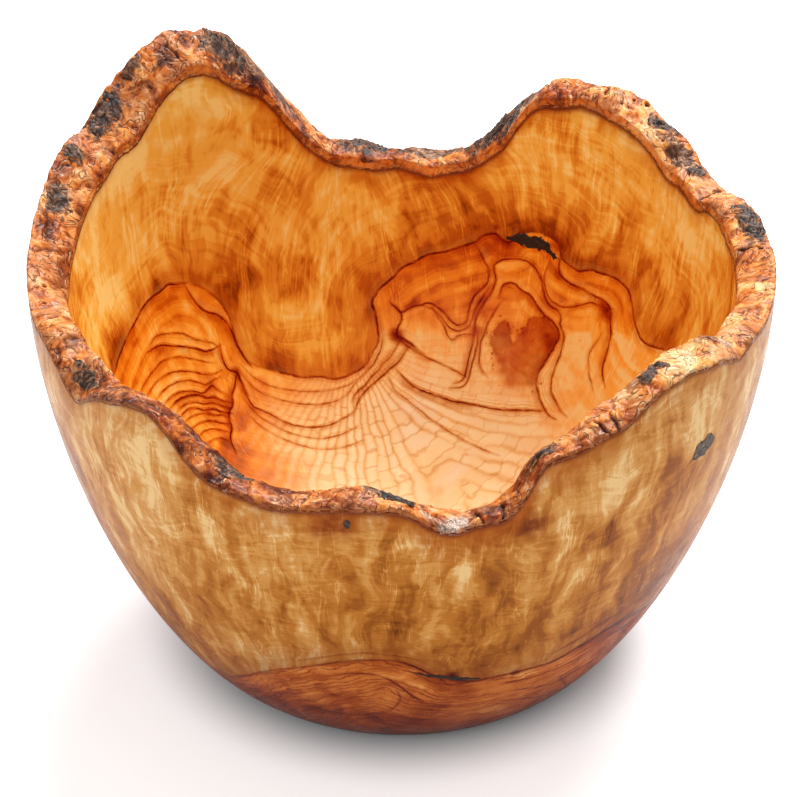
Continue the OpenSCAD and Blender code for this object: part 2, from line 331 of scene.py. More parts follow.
INSIDE_LINES = [
    (1.0, [(116, 371), (118, 361), (126, 340), (137, 319), (147, 302), (160, 292), (168, 285), (176, 284),
        (186, 283)]),
    (0.35, [(186, 284), (200, 287), (214, 296), (224, 308), (231, 322), (236, 340), (246, 359), (258, 367)]),
    (0.9, [(186, 287), (189, 292), (195, 302), (202, 309), (210, 313), (218, 315), (225, 320), (229, 325),
        (233, 334), (236, 343), (243, 356), (251, 366)]),
    (0.45, [(151, 343), (156, 336), (165, 334), (180, 333), (188, 336), (195, 339), (205, 341), (214, 344),
        (219, 348)]),
    (1.0, [(148, 352), (156, 347), (164, 345), (172, 346), (187, 347), (197, 349), (206, 351), (214, 349),
        (219, 346)]),
    (1.0, [(220, 345), (221, 351), (223, 360), (226, 367), (231, 371), (237, 372), (240, 378), (247, 392)]),
    (0.95, [(237, 372), (236, 380), (235, 387), (232, 395), (233, 404), (230, 411), (229, 418), (232, 428),
        (231, 440), (236, 452)]),
    (0.6, [(239, 378), (245, 391), (252, 405), (261, 410), (271, 414), (281, 420), (290, 424), (300, 426),
        (310, 427), (324, 426), (339, 421), (354, 412)]),
    (0.38, [(242, 374), (252, 386), (262, 393), (276, 398), (290, 402), (306, 404), (322, 404), (338, 400),
        (350, 392)]),
    (0.3, [(243, 366), (255, 378), (268, 385), (284, 389), (300, 391), (318, 391), (336, 389), (352, 383),
        (362, 376)]),
    (0.32, [(246, 402), (258, 415), (272, 424), (288, 432), (306, 437), (324, 438), (342, 434), (358, 426)]),
    (0.26, [(248, 414), (262, 427), (280, 437), (300, 445), (322, 449), (344, 447), (364, 440)]),
    (0.55, [(271, 371), (287, 374), (300, 377), (319, 377), (336, 379), (352, 374), (365, 366), (372, 355)]),
    (0.8, [(372, 353), (377, 345), (379, 338), (378, 330), (377, 324), (376, 316), (375, 310), (372, 305),
        (373, 299), (376, 295), (378, 291), (384, 285), (390, 280), (396, 275), (400, 270), (407, 265), (415, 262),
        (422, 257), (430, 254), (438, 253), (445, 252), (460, 247), (474, 243), (480, 239), (484, 236)]),
    (0.95, [(484, 236), (490, 234), (497, 234), (500, 238), (504, 241), (508, 243), (512, 241), (516, 236),
        (520, 233)]),
    (0.7, [(476, 246), (480, 251), (482, 256), (484, 261), (486, 265), (489, 269), (490, 275)]),
    (0.8, [(487, 268), (489, 276), (487, 284), (482, 289), (475, 295), (473, 299), (470, 305), (469, 311),
        (468, 316), (466, 322), (460, 325), (455, 324), (450, 320), (446, 315), (441, 310), (437, 307), (432, 304),
        (428, 303), (421, 305), (415, 306), (408, 309), (401, 312), (397, 309), (393, 305)]),
    (0.55, [(489, 288), (485, 294), (479, 303), (475, 311), (472, 320), (468, 327), (460, 331), (453, 330),
        (447, 325), (443, 319), (437, 313), (432, 309), (426, 307)]),
    (0.45, [(432, 306), (438, 317), (444, 325), (447, 334), (452, 340), (457, 336), (465, 334), (473, 335)]),
    (0.9, [(392, 304), (397, 308), (401, 314), (402, 318), (400, 323), (398, 328), (396, 334), (401, 338),
        (410, 343)]),
    (0.8, [(396, 334), (402, 337), (410, 343), (417, 349), (424, 354)]),
    (0.5, [(394, 334), (404, 343), (417, 352), (428, 358), (439, 363), (452, 369), (466, 377)]),
    (0.7, [(543, 283), (540, 277), (537, 271), (533, 266), (528, 262), (522, 260), (515, 259), (508, 259),
        (502, 260), (496, 263), (493, 268), (495, 273), (496, 278), (495, 284), (493, 289), (490, 295), (486, 300),
        (482, 306), (479, 312), (476, 318), (475, 325), (474, 334), (473, 343), (470, 353), (468, 363), (466, 371),
        (464, 378), (460, 382), (455, 383)]),
    (0.5, [(477, 330), (478, 340), (476, 350), (473, 361), (470, 372), (468, 380), (462, 387), (452, 388)]),
    (0.8, [(499, 298), (500, 293), (502, 287), (506, 284), (511, 283), (516, 285), (520, 289), (524, 292),
        (529, 294), (533, 299), (537, 305), (541, 311), (546, 316), (551, 320), (555, 325), (558, 330), (559, 336),
        (558, 341), (555, 345), (552, 350), (549, 356), (545, 363), (540, 370), (537, 376), (536, 383), (538, 391),
        (540, 399), (543, 406), (546, 412), (550, 416), (555, 419)]),
    (0.5, [(502, 301), (498, 306), (495, 311), (491, 318), (487, 325), (485, 333), (481, 342), (480, 352),
        (479, 362), (482, 370), (487, 376)]),
    (0.85, [(560, 260), (559, 267), (560, 274), (564, 279), (569, 283), (575, 286), (582, 289), (589, 293),
        (595, 296), (601, 299), (607, 303), (610, 308), (611, 314), (610, 320), (611, 328), (611, 334), (609, 343),
        (607, 352), (604, 361), (602, 370), (603, 378), (605, 386)]),
    (0.55, [(548, 266), (545, 273), (544, 280), (545, 287), (547, 294), (551, 300), (556, 304), (562, 307),
        (571, 307), (580, 305), (587, 303), (593, 303), (600, 306)]),
    (0.6, [(541, 276), (542, 285), (544, 294), (546, 300), (549, 305), (553, 308), (558, 311), (561, 318),
        (560, 325), (563, 331), (564, 338), (562, 347), (560, 356), (556, 365), (553, 374), (551, 382), (551, 390),
        (554, 398), (558, 405), (561, 411), (566, 416)]),
    (0.35, [(603, 332), (597, 342), (591, 350), (588, 358), (589, 366), (589, 374), (591, 382), (593, 390)]),
    (0.8, [(560, 252), (562, 259), (569, 265), (573, 268), (578, 271), (584, 271), (591, 270), (596, 272),
        (602, 274), (607, 275), (613, 277), (619, 281), (624, 285), (628, 290), (630, 296), (632, 304), (633, 312),
        (634, 320), (636, 327), (638, 333), (640, 338), (644, 342), (649, 345), (657, 348), (665, 350)]),
    (0.7, [(410, 347), (405, 352), (401, 359), (395, 365), (389, 370), (384, 375), (379, 379), (371, 386),
        (363, 394), (358, 402), (354, 412)]),
    (0.55, [(400, 341), (394, 351), (390, 358), (383, 364), (378, 371), (371, 377), (365, 385), (357, 392),
        (352, 401)]),
    (0.45, [(382, 340), (381, 349), (377, 357), (374, 364), (367, 371), (361, 377), (354, 385), (348, 394)]),
    (0.85, [(397, 370), (404, 378), (412, 385), (422, 390), (433, 394), (443, 398), (453, 401), (464, 403),
        (475, 405), (486, 407), (497, 409), (508, 410), (520, 410), (530, 410), (540, 411)]),
    (0.3, [(388, 374), (391, 382), (395, 390), (406, 399), (417, 408), (428, 417), (439, 425), (450, 432),
        (462, 439), (473, 445), (484, 450), (498, 455)])
]

OUTSIDE_LINES = [
    (0.6, [(548, 655), (566, 646), (584, 635), (600, 624), (618, 613), (636, 601), (650, 592)]),
    (0.45, [(572, 650), (590, 641), (610, 627), (630, 613), (652, 598)]),
    (0.2, [(300, 660), (330, 656), (360, 653), (388, 655), (410, 658), (426, 664)]),
    (0.3, [(396, 688), (400, 700), (388, 711), (360, 715), (330, 711), (300, 702)]),
    (0.5, [(515, 690), (548, 684), (580, 668), (606, 650), (632, 630), (650, 612)]),
    (0.45, [(508, 700), (545, 695), (580, 680), (610, 660), (634, 640)]),
    (0.35, [(223, 674), (231, 676), (248, 675), (266, 671), (292, 668), (318, 665), (348, 661), (378, 660),
        (396, 661)]),
    (1.0, [(396, 661), (405, 663), (413, 666), (424, 671), (434, 675), (448, 678), (460, 680), (473, 681),
        (484, 679)]),
    (0.9, [(484, 679), (498, 676), (515, 672), (534, 667), (553, 661), (571, 651), (589, 640), (603, 631),
        (617, 623), (629, 616), (641, 609), (652, 602)]),
    (0.6, [(407, 670), (418, 675), (430, 681), (444, 684), (458, 684), (470, 681)]),
    (0.55, [(330, 676), (352, 673), (376, 675), (395, 683), (410, 694), (424, 703)]),
    (0.5, [(500, 684), (520, 680), (545, 673), (566, 664), (590, 650), (612, 634), (632, 620)]),
    (0.45, [(616, 511), (613, 520), (611, 530), (608, 542)])
]

# The nested arches of the left end grain, from the top one down.
LEFT_ARCHES = [
    (0.45, [(140, 392), (148, 378), (156, 368), (162, 361), (172, 358), (183, 357), (193, 359), (202, 361),
        (214, 363)]),
    (0.55, [(147, 396), (155, 384), (164, 376), (174, 372), (183, 371), (194, 372), (204, 374), (214, 374),
        (221, 371)]),
    (0.6, [(156, 400), (164, 390), (175, 383), (187, 380), (197, 382), (206, 384), (213, 380), (218, 378)]),
    (0.7, [(163, 405), (171, 397), (180, 392), (193, 391), (203, 393), (208, 389), (212, 385), (217, 389),
        (222, 392)]),
    (0.95, [(170, 408), (177, 401), (187, 396), (199, 395), (207, 398), (214, 397), (221, 400), (229, 402)]),
    (0.7, [(176, 413), (184, 405), (195, 402), (204, 404), (213, 403), (222, 406), (230, 408)]),
    (1.0, [(181, 416), (187, 410), (196, 408), (205, 410), (214, 409), (222, 412), (231, 413)]),
    (0.6, [(186, 421), (193, 416), (204, 413), (214, 415), (222, 415), (231, 419)]),
    (0.7, [(191, 429), (198, 424), (206, 421), (214, 421), (222, 423), (230, 424)]),
    (0.5, [(197, 438), (205, 431), (213, 429), (221, 430), (229, 432)]),
    (0.6, [(203, 448), (211, 441), (219, 438), (228, 440)])
]
INSIDE_LINES += LEFT_ARCHES

# The net of fine lines over the floor: rays from one point that bend as they go, crossed by the growth rings.
NET_CENTRE_PX = (350, 330)
NET_BEND = 0.14
NET_BEND_START_PX = 70
# Where the net shows: (pixel x and y, reach in mm, strength).
NET_AREAS = [
    (385, 412, 8, 0.9), (430, 445, 13, 0.9), (372, 440, 13, 0.8), (470, 480, 20, 0.8), (400, 490, 18, 0.8),
    (300, 440, 12, 0.3)
]
# Where the floor of the bowl is paler, partly in its wood and partly by a painted sheen of the light's reflection, as
# the areas above.
PALE_AREAS = [
    (440, 480, 24, 1.0), (380, 456, 17, 1.0), (320, 470, 14, 0.7), (486, 450, 13, 1.0), (430, 420, 8, 0.7),
    (515, 425, 6, 0.5), (392, 420, 7, 0.6), (300, 440, 8, 0.3)
]
# The dark patch of the right end grain.
DARK_PATCH_PX = [
    (489, 345), (491, 334), (497, 325), (504, 318), (510, 326), (514, 341), (519, 333), (524, 325),
    (531, 318), (543, 316), (552, 322), (558, 334), (553, 349), (547, 360), (541, 371), (537, 386), (522, 394),
    (504, 388), (497, 372), (494, 358)
]

# Broad lighter and darker areas, partly the wood's own and partly painted light and shade: (pixel x and y, reach in
# mm, lightness).
INSIDE_AREAS = [
    (435, 240, 6, -1.7), (470, 234, 6, -1.5), (542, 224, 6, 0.5), (562, 245, 5, -0.3), (428, 308, 4, -1.4),
    (395, 304, 4, -1.2), (460, 320, 4, -1.0), (432, 335, 7, 0.7), (450, 280, 6, 0.1), (172, 170, 9, 1.4),
    (112, 225, 9, 1.8), (215, 140, 9, 1.5), (300, 230, 8, 0.4), (575, 150, 9, 0.9), (610, 260, 8, 0.3),
    (435, 155, 7, -1.0), (440, 215, 7, -0.9), (208, 315, 5, -1.0), (155, 238, 8, -1.0), (410, 390, 6, 1.2),
    (465, 440, 10, 1.4), (560, 395, 6, 0.5), (400, 420, 9, 0.5), (330, 430, 9, 0.5), (195, 430, 6, -0.6),
    (215, 425, 5, 0.6), (244, 462, 6, -1.4), (112, 240, 20, 1.0), (150, 190, 15, 0.8), (175, 170, 11, 1.0),
    (205, 190, 12, 0.5), (195, 82, 11, -0.4), (160, 125, 8, 0.7), (130, 125, 9, 1.0), (265, 140, 9, -0.6),
    (285, 112, 8, -0.6), (205, 240, 13, -0.6), (255, 235, 12, -0.25), (218, 292, 7, -1.1), (250, 300, 9, -0.9),
    (268, 345, 8, 0.9), (360, 280, 6, 0.5), (285, 312, 6, -1.4), (122, 364, 5, -0.9), (672, 278, 5, -0.6),
    (606, 322, 4, -0.9), (450, 312, 5, -1.0), (390, 312, 4, -1.0), (190, 375, 9, 0.7), (475, 200, 6, 0.9),
    (188, 266, 4, 0.9), (270, 262, 6, 0.7), (597, 228, 5, -0.8), (310, 330, 12, -0.2), (350, 328, 8, 1.1),
    (290, 220, 12, 0.5), (350, 200, 15, 0.35), (500, 180, 11, 0.3), (440, 212, 7, -0.7), (430, 238, 7, -1.3),
    (480, 226, 7, -1.3), (385, 275, 7, -1.0), (402, 232, 7, 0.7), (345, 268, 12, -0.1), (525, 212, 10, -0.1),
    (570, 240, 10, -0.6), (610, 255, 10, -0.3), (590, 165, 13, 1.0), (545, 118, 9, -0.9), (600, 112, 8, -0.5),
    (640, 200, 12, 0.7), (625, 235, 9, 0.4), (665, 270, 14, 0.4), (690, 230, 13, 0.7), (655, 290, 8, -0.6),
    (700, 300, 12, 0.4), (130, 335, 8, -0.2), (165, 312, 7, -0.6), (200, 322, 7, 0.4), (150, 352, 5, -0.9),
    (185, 372, 6, 0.2), (225, 400, 8, -1.3), (238, 440, 9, -1.5), (262, 462, 8, -1.6), (286, 474, 7, -0.9),
    (300, 425, 13, 0.4), (290, 378, 8, -0.7), (340, 380, 7, -0.6), (440, 480, 40, 0.95), (360, 450, 24, 0.8),
    (440, 378, 11, 0.9), (525, 300, 8, -0.2), (510, 272, 6, 0.0), (520, 345, 8, -0.3), (580, 370, 11, 0.8),
    (430, 275, 10, -1.0), (400, 290, 7, -1.0), (445, 295, 7, -0.9), (482, 262, 6, -0.5), (480, 318, 5, -0.4),
    (450, 352, 8, 0.6), (600, 290, 6, -0.5), (562, 280, 6, -0.6), (545, 264, 7, -1.0), (520, 400, 11, 0.3),
    (515, 362, 6, -0.8)
]
OUTSIDE_AREAS = [
    (158, 540, 9, 0.5), (550, 500, 7, 0.3), (600, 440, 8, 0.2), (655, 365, 8, 0.5), (705, 390, 8, 0.4),
    (700, 350, 8, -1.2), (330, 540, 8, -0.4), (400, 620, 8, 0.5), (590, 610, 8, 0.5), (215, 620, 8, 0.6),
    (300, 672, 9, 1.6), (440, 658, 6, 0.9), (108, 402, 7, 1.6), (205, 492, 6, 0.9), (300, 518, 7, 1.4),
    (520, 600, 8, -0.5), (500, 575, 8, 0.5), (550, 520, 6, 0.7), (560, 670, 7, 1.2), (535, 690, 8, 1.0),
    (250, 560, 10, 0.3), (285, 520, 8, 0.4), (215, 485, 7, -0.3), (640, 520, 9, -0.8), (500, 545, 7, -0.3),
    (110, 420, 14, 1.3), (160, 430, 14, 0.6), (116, 470, 7, -0.3), (150, 510, 12, 1.2), (240, 515, 12, 0.5),
    (190, 560, 16, 0.1), (290, 515, 9, 1.2), (330, 525, 8, 0.6), (300, 600, 14, 0.2), (350, 590, 14, -0.4),
    (400, 600, 12, -0.8), (430, 562, 10, 1.0), (475, 585, 10, 1.0), (430, 640, 9, 0.8), (375, 555, 8, 0.4),
    (515, 530, 10, -1.2), (500, 560, 9, -0.4), (580, 480, 13, 1.1), (560, 610, 12, 0.4), (600, 540, 14, 0.1),
    (640, 600, 14, -0.4), (680, 500, 16, -0.1), (730, 400, 14, 0.6), (690, 390, 7, 1.5), (660, 370, 10, 1.0),
    (640, 440, 12, 0.2), (620, 610, 12, -1.1), (350, 650, 16, -0.1), (260, 620, 16, 0.0), (505, 640, 8, -0.9),
    (545, 680, 12, 0.9), (450, 662, 8, -0.8), (390, 690, 7, 0.9), (300, 690, 14, -0.3), (560, 680, 12, -0.2)
]


def resampled(line, inside, step=0.8 * MM):
    """A pixel outline on the wall, at even steps in space."""
    points = sight_points(smooth_path(line, 2), inside)
    lengths = lengths_along(points)
    return points_along(points, lengths, np.linspace(0, lengths[-1], max(3, int(lengths[-1] / step))))


def nearest(points, samples, block=4000):
    """Index of the nearest sample, and the distance to it, for every point."""
    index = np.empty(len(points), int)
    distance = np.empty(len(points))
    for start in range(0, len(points), block):
        part = points[start:start + block]
        squares = ((part ** 2).sum(1)[:, None] + (samples ** 2).sum(1)[None] - 2 * part @ samples.T)
        index[start:start + block] = squares.argmin(1)
        distance[start:start + block] = np.sqrt(np.maximum(squares.min(1), 0))
    return index, distance


FAR = 9.0
LINE_REACH = 7 * MM
LINE_FIELDS = ("line_a", "line_b", "line_c", "line_d", "line_e")


def apart(lines, inside):
    """The lines as samples in space, sorted into groups in which no two lines come close."""
    groups = [[] for _ in LINE_FIELDS]
    for strength, outline in lines:
        samples = resampled(outline, inside)

        def clearance(group):
            return min((nearest(samples, other)[1].min() for _, other in group), default=1)

        max(groups, key=clearance).append((strength, samples))
    return groups


def line_field(points, normals, lines):
    """Per point: signed distance in mm to the nearest of the lines, how much it belongs to that line alone, and
    the strength of the line."""
    field = np.tile([FAR, 0.0, 0.0], (len(points), 1))
    first = np.full(len(points), FAR)
    second = np.full(len(points), FAR)
    for strength, samples in lines:
        box = np.all((points > samples.min(0) - LINE_REACH) & (points < samples.max(0) + LINE_REACH), axis=1)
        near = np.nonzero(box)[0]
        if not len(near):
            continue
        index, distance = nearest(points[near], samples)
        distance = distance / MM
        closer = distance < first[near]
        second[near] = np.where(closer, first[near], np.minimum(second[near], distance))
        near, index = near[closer], index[closer]
        first[near] = distance[closer]
        tangents = np.gradient(samples, axis=0)[index]
        tangents /= np.linalg.norm(tangents, axis=1)[:, None] + 1e-12
        offset = (points[near] - samples[index]) / MM
        along = np.sum(tangents * offset, axis=1)
        beyond = np.where(index == 0, -along, np.where(index == len(samples) - 1, along, 0))
        signed = np.sum(np.cross(normals[near], tangents) * offset, axis=1)
        fade = np.minimum(1, 0.35 + np.minimum(index, len(samples) - 1 - index) / 8)
        field[near, 0] = signed
        field[near, 1] = 1 - smooth_step(0.2, 1.2, beyond)
        field[near, 2] = strength * fade
    field[:, 1] *= (1 - smooth_step(2.4, 4.2, first)) * smooth_step(0.5, 2.2, second - first)
    return field


def loop_field(points, reach, loop, loop_reach):
    """Signed distance in mm to a closed loop round the axis, above 0 on the side of the axis. The reach of a
    point is its distance from the axis along the wall, which unrolls the wall to a flat disc."""
    index, distance = nearest(points, loop)
    x, y, _ = polar(reach, direction_of(points), 0).T
    lx, ly, _ = polar(loop_reach, direction_of(loop), 0).T
    inside = np.zeros(len(points), bool)
    for i in range(len(loop)):
        x0, y0, x1, y1 = lx[i - 1], ly[i - 1], lx[i], ly[i]
        if y0 != y1:
            crosses = (y0 > y) != (y1 > y)
            inside ^= crosses & (x < (x1 - x0) * (y - y0) / (y1 - y0) + x0)
    return np.where(inside, distance, -distance) / MM


def nearness(points, pixel, reach_mm, inside):
    """From 1 at the place that a pixel shows down to 0 away from it."""
    away = np.linalg.norm(points - sight_points([pixel], inside)[0], axis=1)
    return np.exp(-0.5 * (away / (reach_mm * MM)) ** 2)


def coverage(points, areas):
    """How much the areas cover each point of the inner wall, from 0 to 1."""
    clear = np.ones(len(points))
    for x, y, reach, strength in areas:
        clear *= 1 - strength * nearness(points, (x, y), reach, True)
    return 1 - clear


def net_field(points):
    """Per point of the inner wall: direction in degrees and distance in mm from the middle of the net, and how
    strongly the net shows."""
    offset = pixels_of(points) - NET_CENTRE_PX
    reach = np.hypot(*offset.T)
    direction = np.degrees(np.arctan2(offset[:, 1], offset[:, 0]))
    bend = NET_BEND * (reach - NET_BEND_START_PX) * (1 - smooth_step(50, 66, direction))
    return np.stack([direction + bend, reach * CAMERA_DISTANCE / FOCAL_PX / MM, coverage(points, NET_AREAS)], -1)


AREA_BASE_WEIGHT = 0.3


def area_field(points, areas, inside):
    """Lightness from the broad areas, as a soft mean of those near each point."""
    total = np.zeros(len(points))
    weight = np.full(len(points), AREA_BASE_WEIGHT)
    for x, y, reach, lightness in areas:
        near = nearness(points, (x, y), reach, inside)
        total += near * lightness
        weight += near
    return total / weight


# Meshes.
def grid_object(name, grid, poles=None):
    """A mesh from rows of points that each run round the bowl. Poles are a point before the first row and one
    after the last, or None for a tube that closes on itself."""
    rows, columns = grid.shape[:2]
    vertices = grid.reshape(-1, 3)
    i = np.arange(rows if poles is None else rows - 1)[:, None]
    j = np.arange(columns)[None]
    after = (j + 1) % columns
    below = (i + 1) % rows
    quads = np.stack([i * columns + j, i * columns + after, below * columns + after, below * columns + j], -1)
    faces = quads.reshape(-1, 4).tolist()
    if poles is not None:
        vertices = np.concatenate([vertices, poles])
        first, last = rows * columns, rows * columns + 1
        start = (rows - 1) * columns
        faces += [(first, (k + 1) % columns, k) for k in range(columns)]
        faces += [(last, start + k, start + (k + 1) % columns) for k in range(columns)]
    return mesh_object(name, vertices, faces)


def plates_object(name, pairs, flipped=False):
    """One mesh of closed plates, each from a grid of points on top and a grid of points under it."""
    vertices, faces = [], []
    for top, under in pairs:
        rows, columns = top.shape[:2]
        size = rows * columns
        number = len(vertices) + np.arange(size).reshape(rows, columns)
        a, b, c, d = number[:-1, :-1], number[:-1, 1:], number[1:, 1:], number[1:, :-1]
        quads = np.stack([a, b, c, d, a + size, d + size, c + size, b + size], -1).reshape(-1, 4)
        ring = np.concatenate([number[0, :-1], number[:-1, -1], number[-1, :0:-1], number[:0:-1, 0]])
        after = np.roll(ring, -1)
        quads = np.concatenate([quads, np.stack([after, ring, ring + size, after + size], -1)])
        faces += (quads[:, ::-1] if flipped else quads).tolist()
        vertices += top.reshape(-1, 3).tolist() + under.reshape(-1, 3).tolist()
    return mesh_object(name, vertices, faces)


def mesh_object(name, vertices, faces):
    mesh = bpy.data.meshes.new(name)
    mesh.from_pydata(np.asarray(vertices).tolist(), [], faces)
    mesh.validate()
    mesh.polygons.foreach_set("use_smooth", np.ones(len(mesh.polygons), bool))
    mesh.update()
    made = bpy.data.objects.new(name, mesh)
    bpy.context.scene.collection.objects.link(made)
    return made


def set_attribute(piece, name, values):
    values = np.asarray(values, np.float32)
    vector = values.ndim == 2
    attribute = piece.data.attributes.new(name, "FLOAT_VECTOR" if vector else "FLOAT", "POINT")
    attribute.data.foreach_set("vector" if vector else "value", values.ravel())


def finish_piece(piece, material, slot, *nodes):
    piece.data.materials.append(material)
    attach(piece, "root")
    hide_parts(*nodes)


# The turned wood: from the middle of the floor up the inner wall, over the top, and down to the foot.
WOOD_COLUMNS = 480
INNER_ROWS = 112
TOP_ROWS = 2
OUTER_ROWS = 82
FOOT_ROWS = 8
# The wood is drawn in by this much under the bark's sides, which fades out between these depths.
UNDER_BARK_DEPTH = 0.14 * MM
UNDER_BARK_REACH = (2.2 * MM, 4.6 * MM)


def with_ends(profile, first_radius):
    """The profile with its true first point, and carried straight up past the natural edge."""
    tall = [[profile[-1, 0], 0.2]]
    first = [[first_radius, profile[0, 1]]]
    return np.concatenate([first, profile, tall])


inner_path = with_ends(inner_profile, 0)
outer_path = with_ends(outer_profile, foot_radius)
outer_path[0] = [foot_radius, 0]
inner_lengths, outer_lengths = lengths_along(inner_path), lengths_along(outer_path)


def reach_inside(z):
    return np.interp(z, inner_path[:, 1], inner_lengths)


def reach_outside(z):
    return foot_radius + np.interp(z, outer_path[:, 1], outer_lengths)


def wood_grid():
    """The points of the wood in rows from the floor up and down again to the foot, with the reach of each point,
    which is its distance from the axis along the wall, and whether it counts as inside."""
    at = np.arange(WOOD_COLUMNS) * FULL_TURN / WOOD_COLUMNS
    inner_top, outer_top = (edge_height(wood_top_fit, at, share) for share in (0, 1))
    rows = []

    def add(radius, height, reach, inside, top):
        depth = UNDER_BARK_DEPTH * (1 - smooth_step(*UNDER_BARK_REACH, top - height))
        radius = radius + (depth if inside else -depth)
        rows.append((polar(radius, at, height), reach + 0 * at, inside + 0 * at))

    for u in np.arange(1, INNER_ROWS + 1) / INNER_ROWS:
        length = u * reach_inside(inner_top)
        add(*points_along(inner_path, inner_lengths, length).T, length, 1, inner_top)
    for u in np.arange(1, TOP_ROWS + 1) / (TOP_ROWS + 1):
        top = inner_top + u * (outer_top - inner_top)
        add(across_wall(u, top), top, reach_inside(inner_top), 1, inner_top)
    for u in 1 - np.arange(OUTER_ROWS + 1) / OUTER_ROWS:
        length = u * (reach_outside(outer_top) - foot_radius)
        add(*points_along(outer_path, outer_lengths, length).T, length + foot_radius, 0, outer_top)
    for u in 1 - np.arange(1, FOOT_ROWS + 1) / (FOOT_ROWS + 1):
        add(foot_radius * u, 0 * at, foot_radius * u, 0, outer_top)
    return [np.array(part) for part in zip(*rows)]


def grid_normals(grid):
    across = np.roll(grid, -1, axis=1) - np.roll(grid, 1, axis=1)
    along = np.gradient(grid, axis=0)
    normals = np.cross(across, along)
    return normals / (np.linalg.norm(normals, axis=-1)[..., None] + 1e-15)


# Materials. A field is a value of the node tree, and sums and products of fields make new ones.
def srgb(red, green, blue):
    """A colour written as on a screen, from 0 to 255, as the linear one that the shaders take."""
    return tuple(((c / 255 + 0.055) / 1.055) ** 2.4 if c > 10.3 else c / 255 / 12.92
                 for c in (red, green, blue)) + (1,)


class Field:
    def __init__(self, tree, socket):
        self.tree = tree
        self.socket = socket

    def math(self, operation, *others):
        return make_node(self.tree, "Math", 0, enumerate((self, *others)), operation=operation)

    def inverse(self):
        return self * -1 + 1

    def step(self, low, high, start=0.0, end=1.0):
        """From start at low to end at high, smoothly, and level beyond them."""
        inputs = {"Value": self, "From Min": low, "From Max": high, "To Min": start, "To Max": end}
        return make_node(self.tree, "MapRange", 0, inputs.items(), interpolation_type="SMOOTHSTEP")

    def fall(self, low, high):
        """From 1 at low to 0 at high."""
        return self.step(low, high, 1, 0)

    def off_middle(self):
        """How far the fraction is from a half: 0 there, and 0.5 at the whole numbers."""
        return abs(self.fract() - 0.5)


def method_of(operation):
    return lambda field, *others: field.math(operation, *others)


for method, operation in (
        ("__add__", "ADD"), ("__sub__", "SUBTRACT"), ("__mul__", "MULTIPLY"), ("__truediv__", "DIVIDE"),
        ("__pow__", "POWER"), ("__abs__", "ABSOLUTE"), ("floor", "FLOOR"), ("fract", "FRACT")):
    setattr(Field, method, method_of(operation))


def put(tree, socket, value):
    if isinstance(value, Field):
        tree.links.new(value.socket, socket)
    else:
        socket.default_value = value


def make_node(tree, kind, output, inputs, **settings):
    """A new node with its settings and its inputs, given as pairs, as the field of one of its outputs."""
    node = tree.nodes.new("ShaderNode" + kind)
    for name, value in settings.items():
        setattr(node, name, value)
    for key, value in inputs:
        put(tree, node.inputs[key], value)
    return Field(tree, node.outputs[output])


class Paint:
    """A material's node tree, with short names for what the materials here are made of."""

    def __init__(self, name):
        self.material = bpy.data.materials.new(name)
        self.material.use_nodes = True
        self.tree = self.material.node_tree
        self.shader = self.tree.nodes["Principled BSDF"]

    def node(self, kind, output, *inputs, **settings):
        return make_node(self.tree, kind, output, inputs, **settings)

    def attribute(self, name):
        return self.node("Attribute", "Fac", attribute_name=name)

    def vector(self, name):
        return self.node("Attribute", "Vector", attribute_name=name)

    def split(self, vector):
        separate = self.node("SeparateXYZ", 0, (0, vector)).socket.node
        return [Field(self.tree, socket) for socket in separate.outputs]

    def join(self, x, y, z):
        return self.node("CombineXYZ", 0, (0, x), (1, y), (2, z))

    def place(self):
        """The point on the piece, in mm."""
        return self.node("VectorMath", 0, (0, self.node("TexCoord", "Object")), ("Scale", 1 / MM), operation="SCALE")

    def stretched(self, vector, x, y, z):
        return self.node("VectorMath", 0, (0, vector), (1, (x, y, z)), operation="MULTIPLY")

    def noise(self, vector, size, detail=2.0, roughness=0.5, distortion=0.0):
        """Noise from 0 to 1 over a vector in mm, with features of about that size in mm."""
        return self.node("TexNoise", "Fac", ("Vector", vector), ("Scale", 1 / size), ("Detail", detail),
                         ("Roughness", roughness), ("Distortion", distortion))

    def sway(self, *values):
        """The same noise, from -0.5 to 0.5."""
        return self.noise(*values) - 0.5

    def wobble(self, vector, size, amount):
        """The vector, pushed about by up to half that amount in mm."""
        push = self.node("TexNoise", "Color", ("Vector", vector), ("Scale", 1 / size), ("Detail", 1))
        return self.node("VectorMath", 0, (0, push), (1, (amount,) * 3), (2, vector), operation="MULTIPLY_ADD")

    def cells(self, vector, size):
        return self.node("TexVoronoi", "Distance", ("Vector", vector), ("Scale", 1 / size))

    def mix(self, first, second, share):
        """From the first colour to the second, by a share of 0 to 1."""
        return self.node("Mix", 2, (0, share), (6, first), (7, second), data_type="RGBA")

    def ramp(self, value, *stops):
        """A colour by value, from stops of (place, red, green, blue)."""
        node = self.tree.nodes.new("ShaderNodeValToRGB")
        node.color_ramp.interpolation = "EASE"
        elements = node.color_ramp.elements
        while len(elements) < len(stops):
            elements.new(0.5)
        for element, (place, *colour) in zip(elements, stops):
            element.position = place
            element.color = srgb(*colour)
        put(self.tree, node.inputs[0], value)
        return Field(self.tree, node.outputs["Color"])

    def darkened_through(self, colour, density, passes):
        """The colour through a coloured layer, as for stains and for painted shade. Each of passes is the logarithm
        of the share that passes at a density of 1.
        """
        return self.join(*(c * (density * k).math("EXPONENT") for c, k in zip(self.split(colour), passes)))

    def bump(self, height, depth_mm):
        """A fine relief, where height goes from 0 to 1 over that depth."""
        self.set(Normal=self.node("Bump", "Normal", ("Distance", depth_mm * MM), ("Height", height)))

    def set(self, **values):
        for name, value in values.items():
            put(self.tree, self.shader.inputs[name.replace("_", " ")], value)


# The shares of red, green and blue light that pass the dark lines of the figure, and outside also the painted shade
# towards the foot, at a density of 1.
STAIN_INSIDE = (0.54, 0.2, 0.06)
STAIN_AND_SHADE_OUTSIDE = (0.45, 0.25, 0.18)


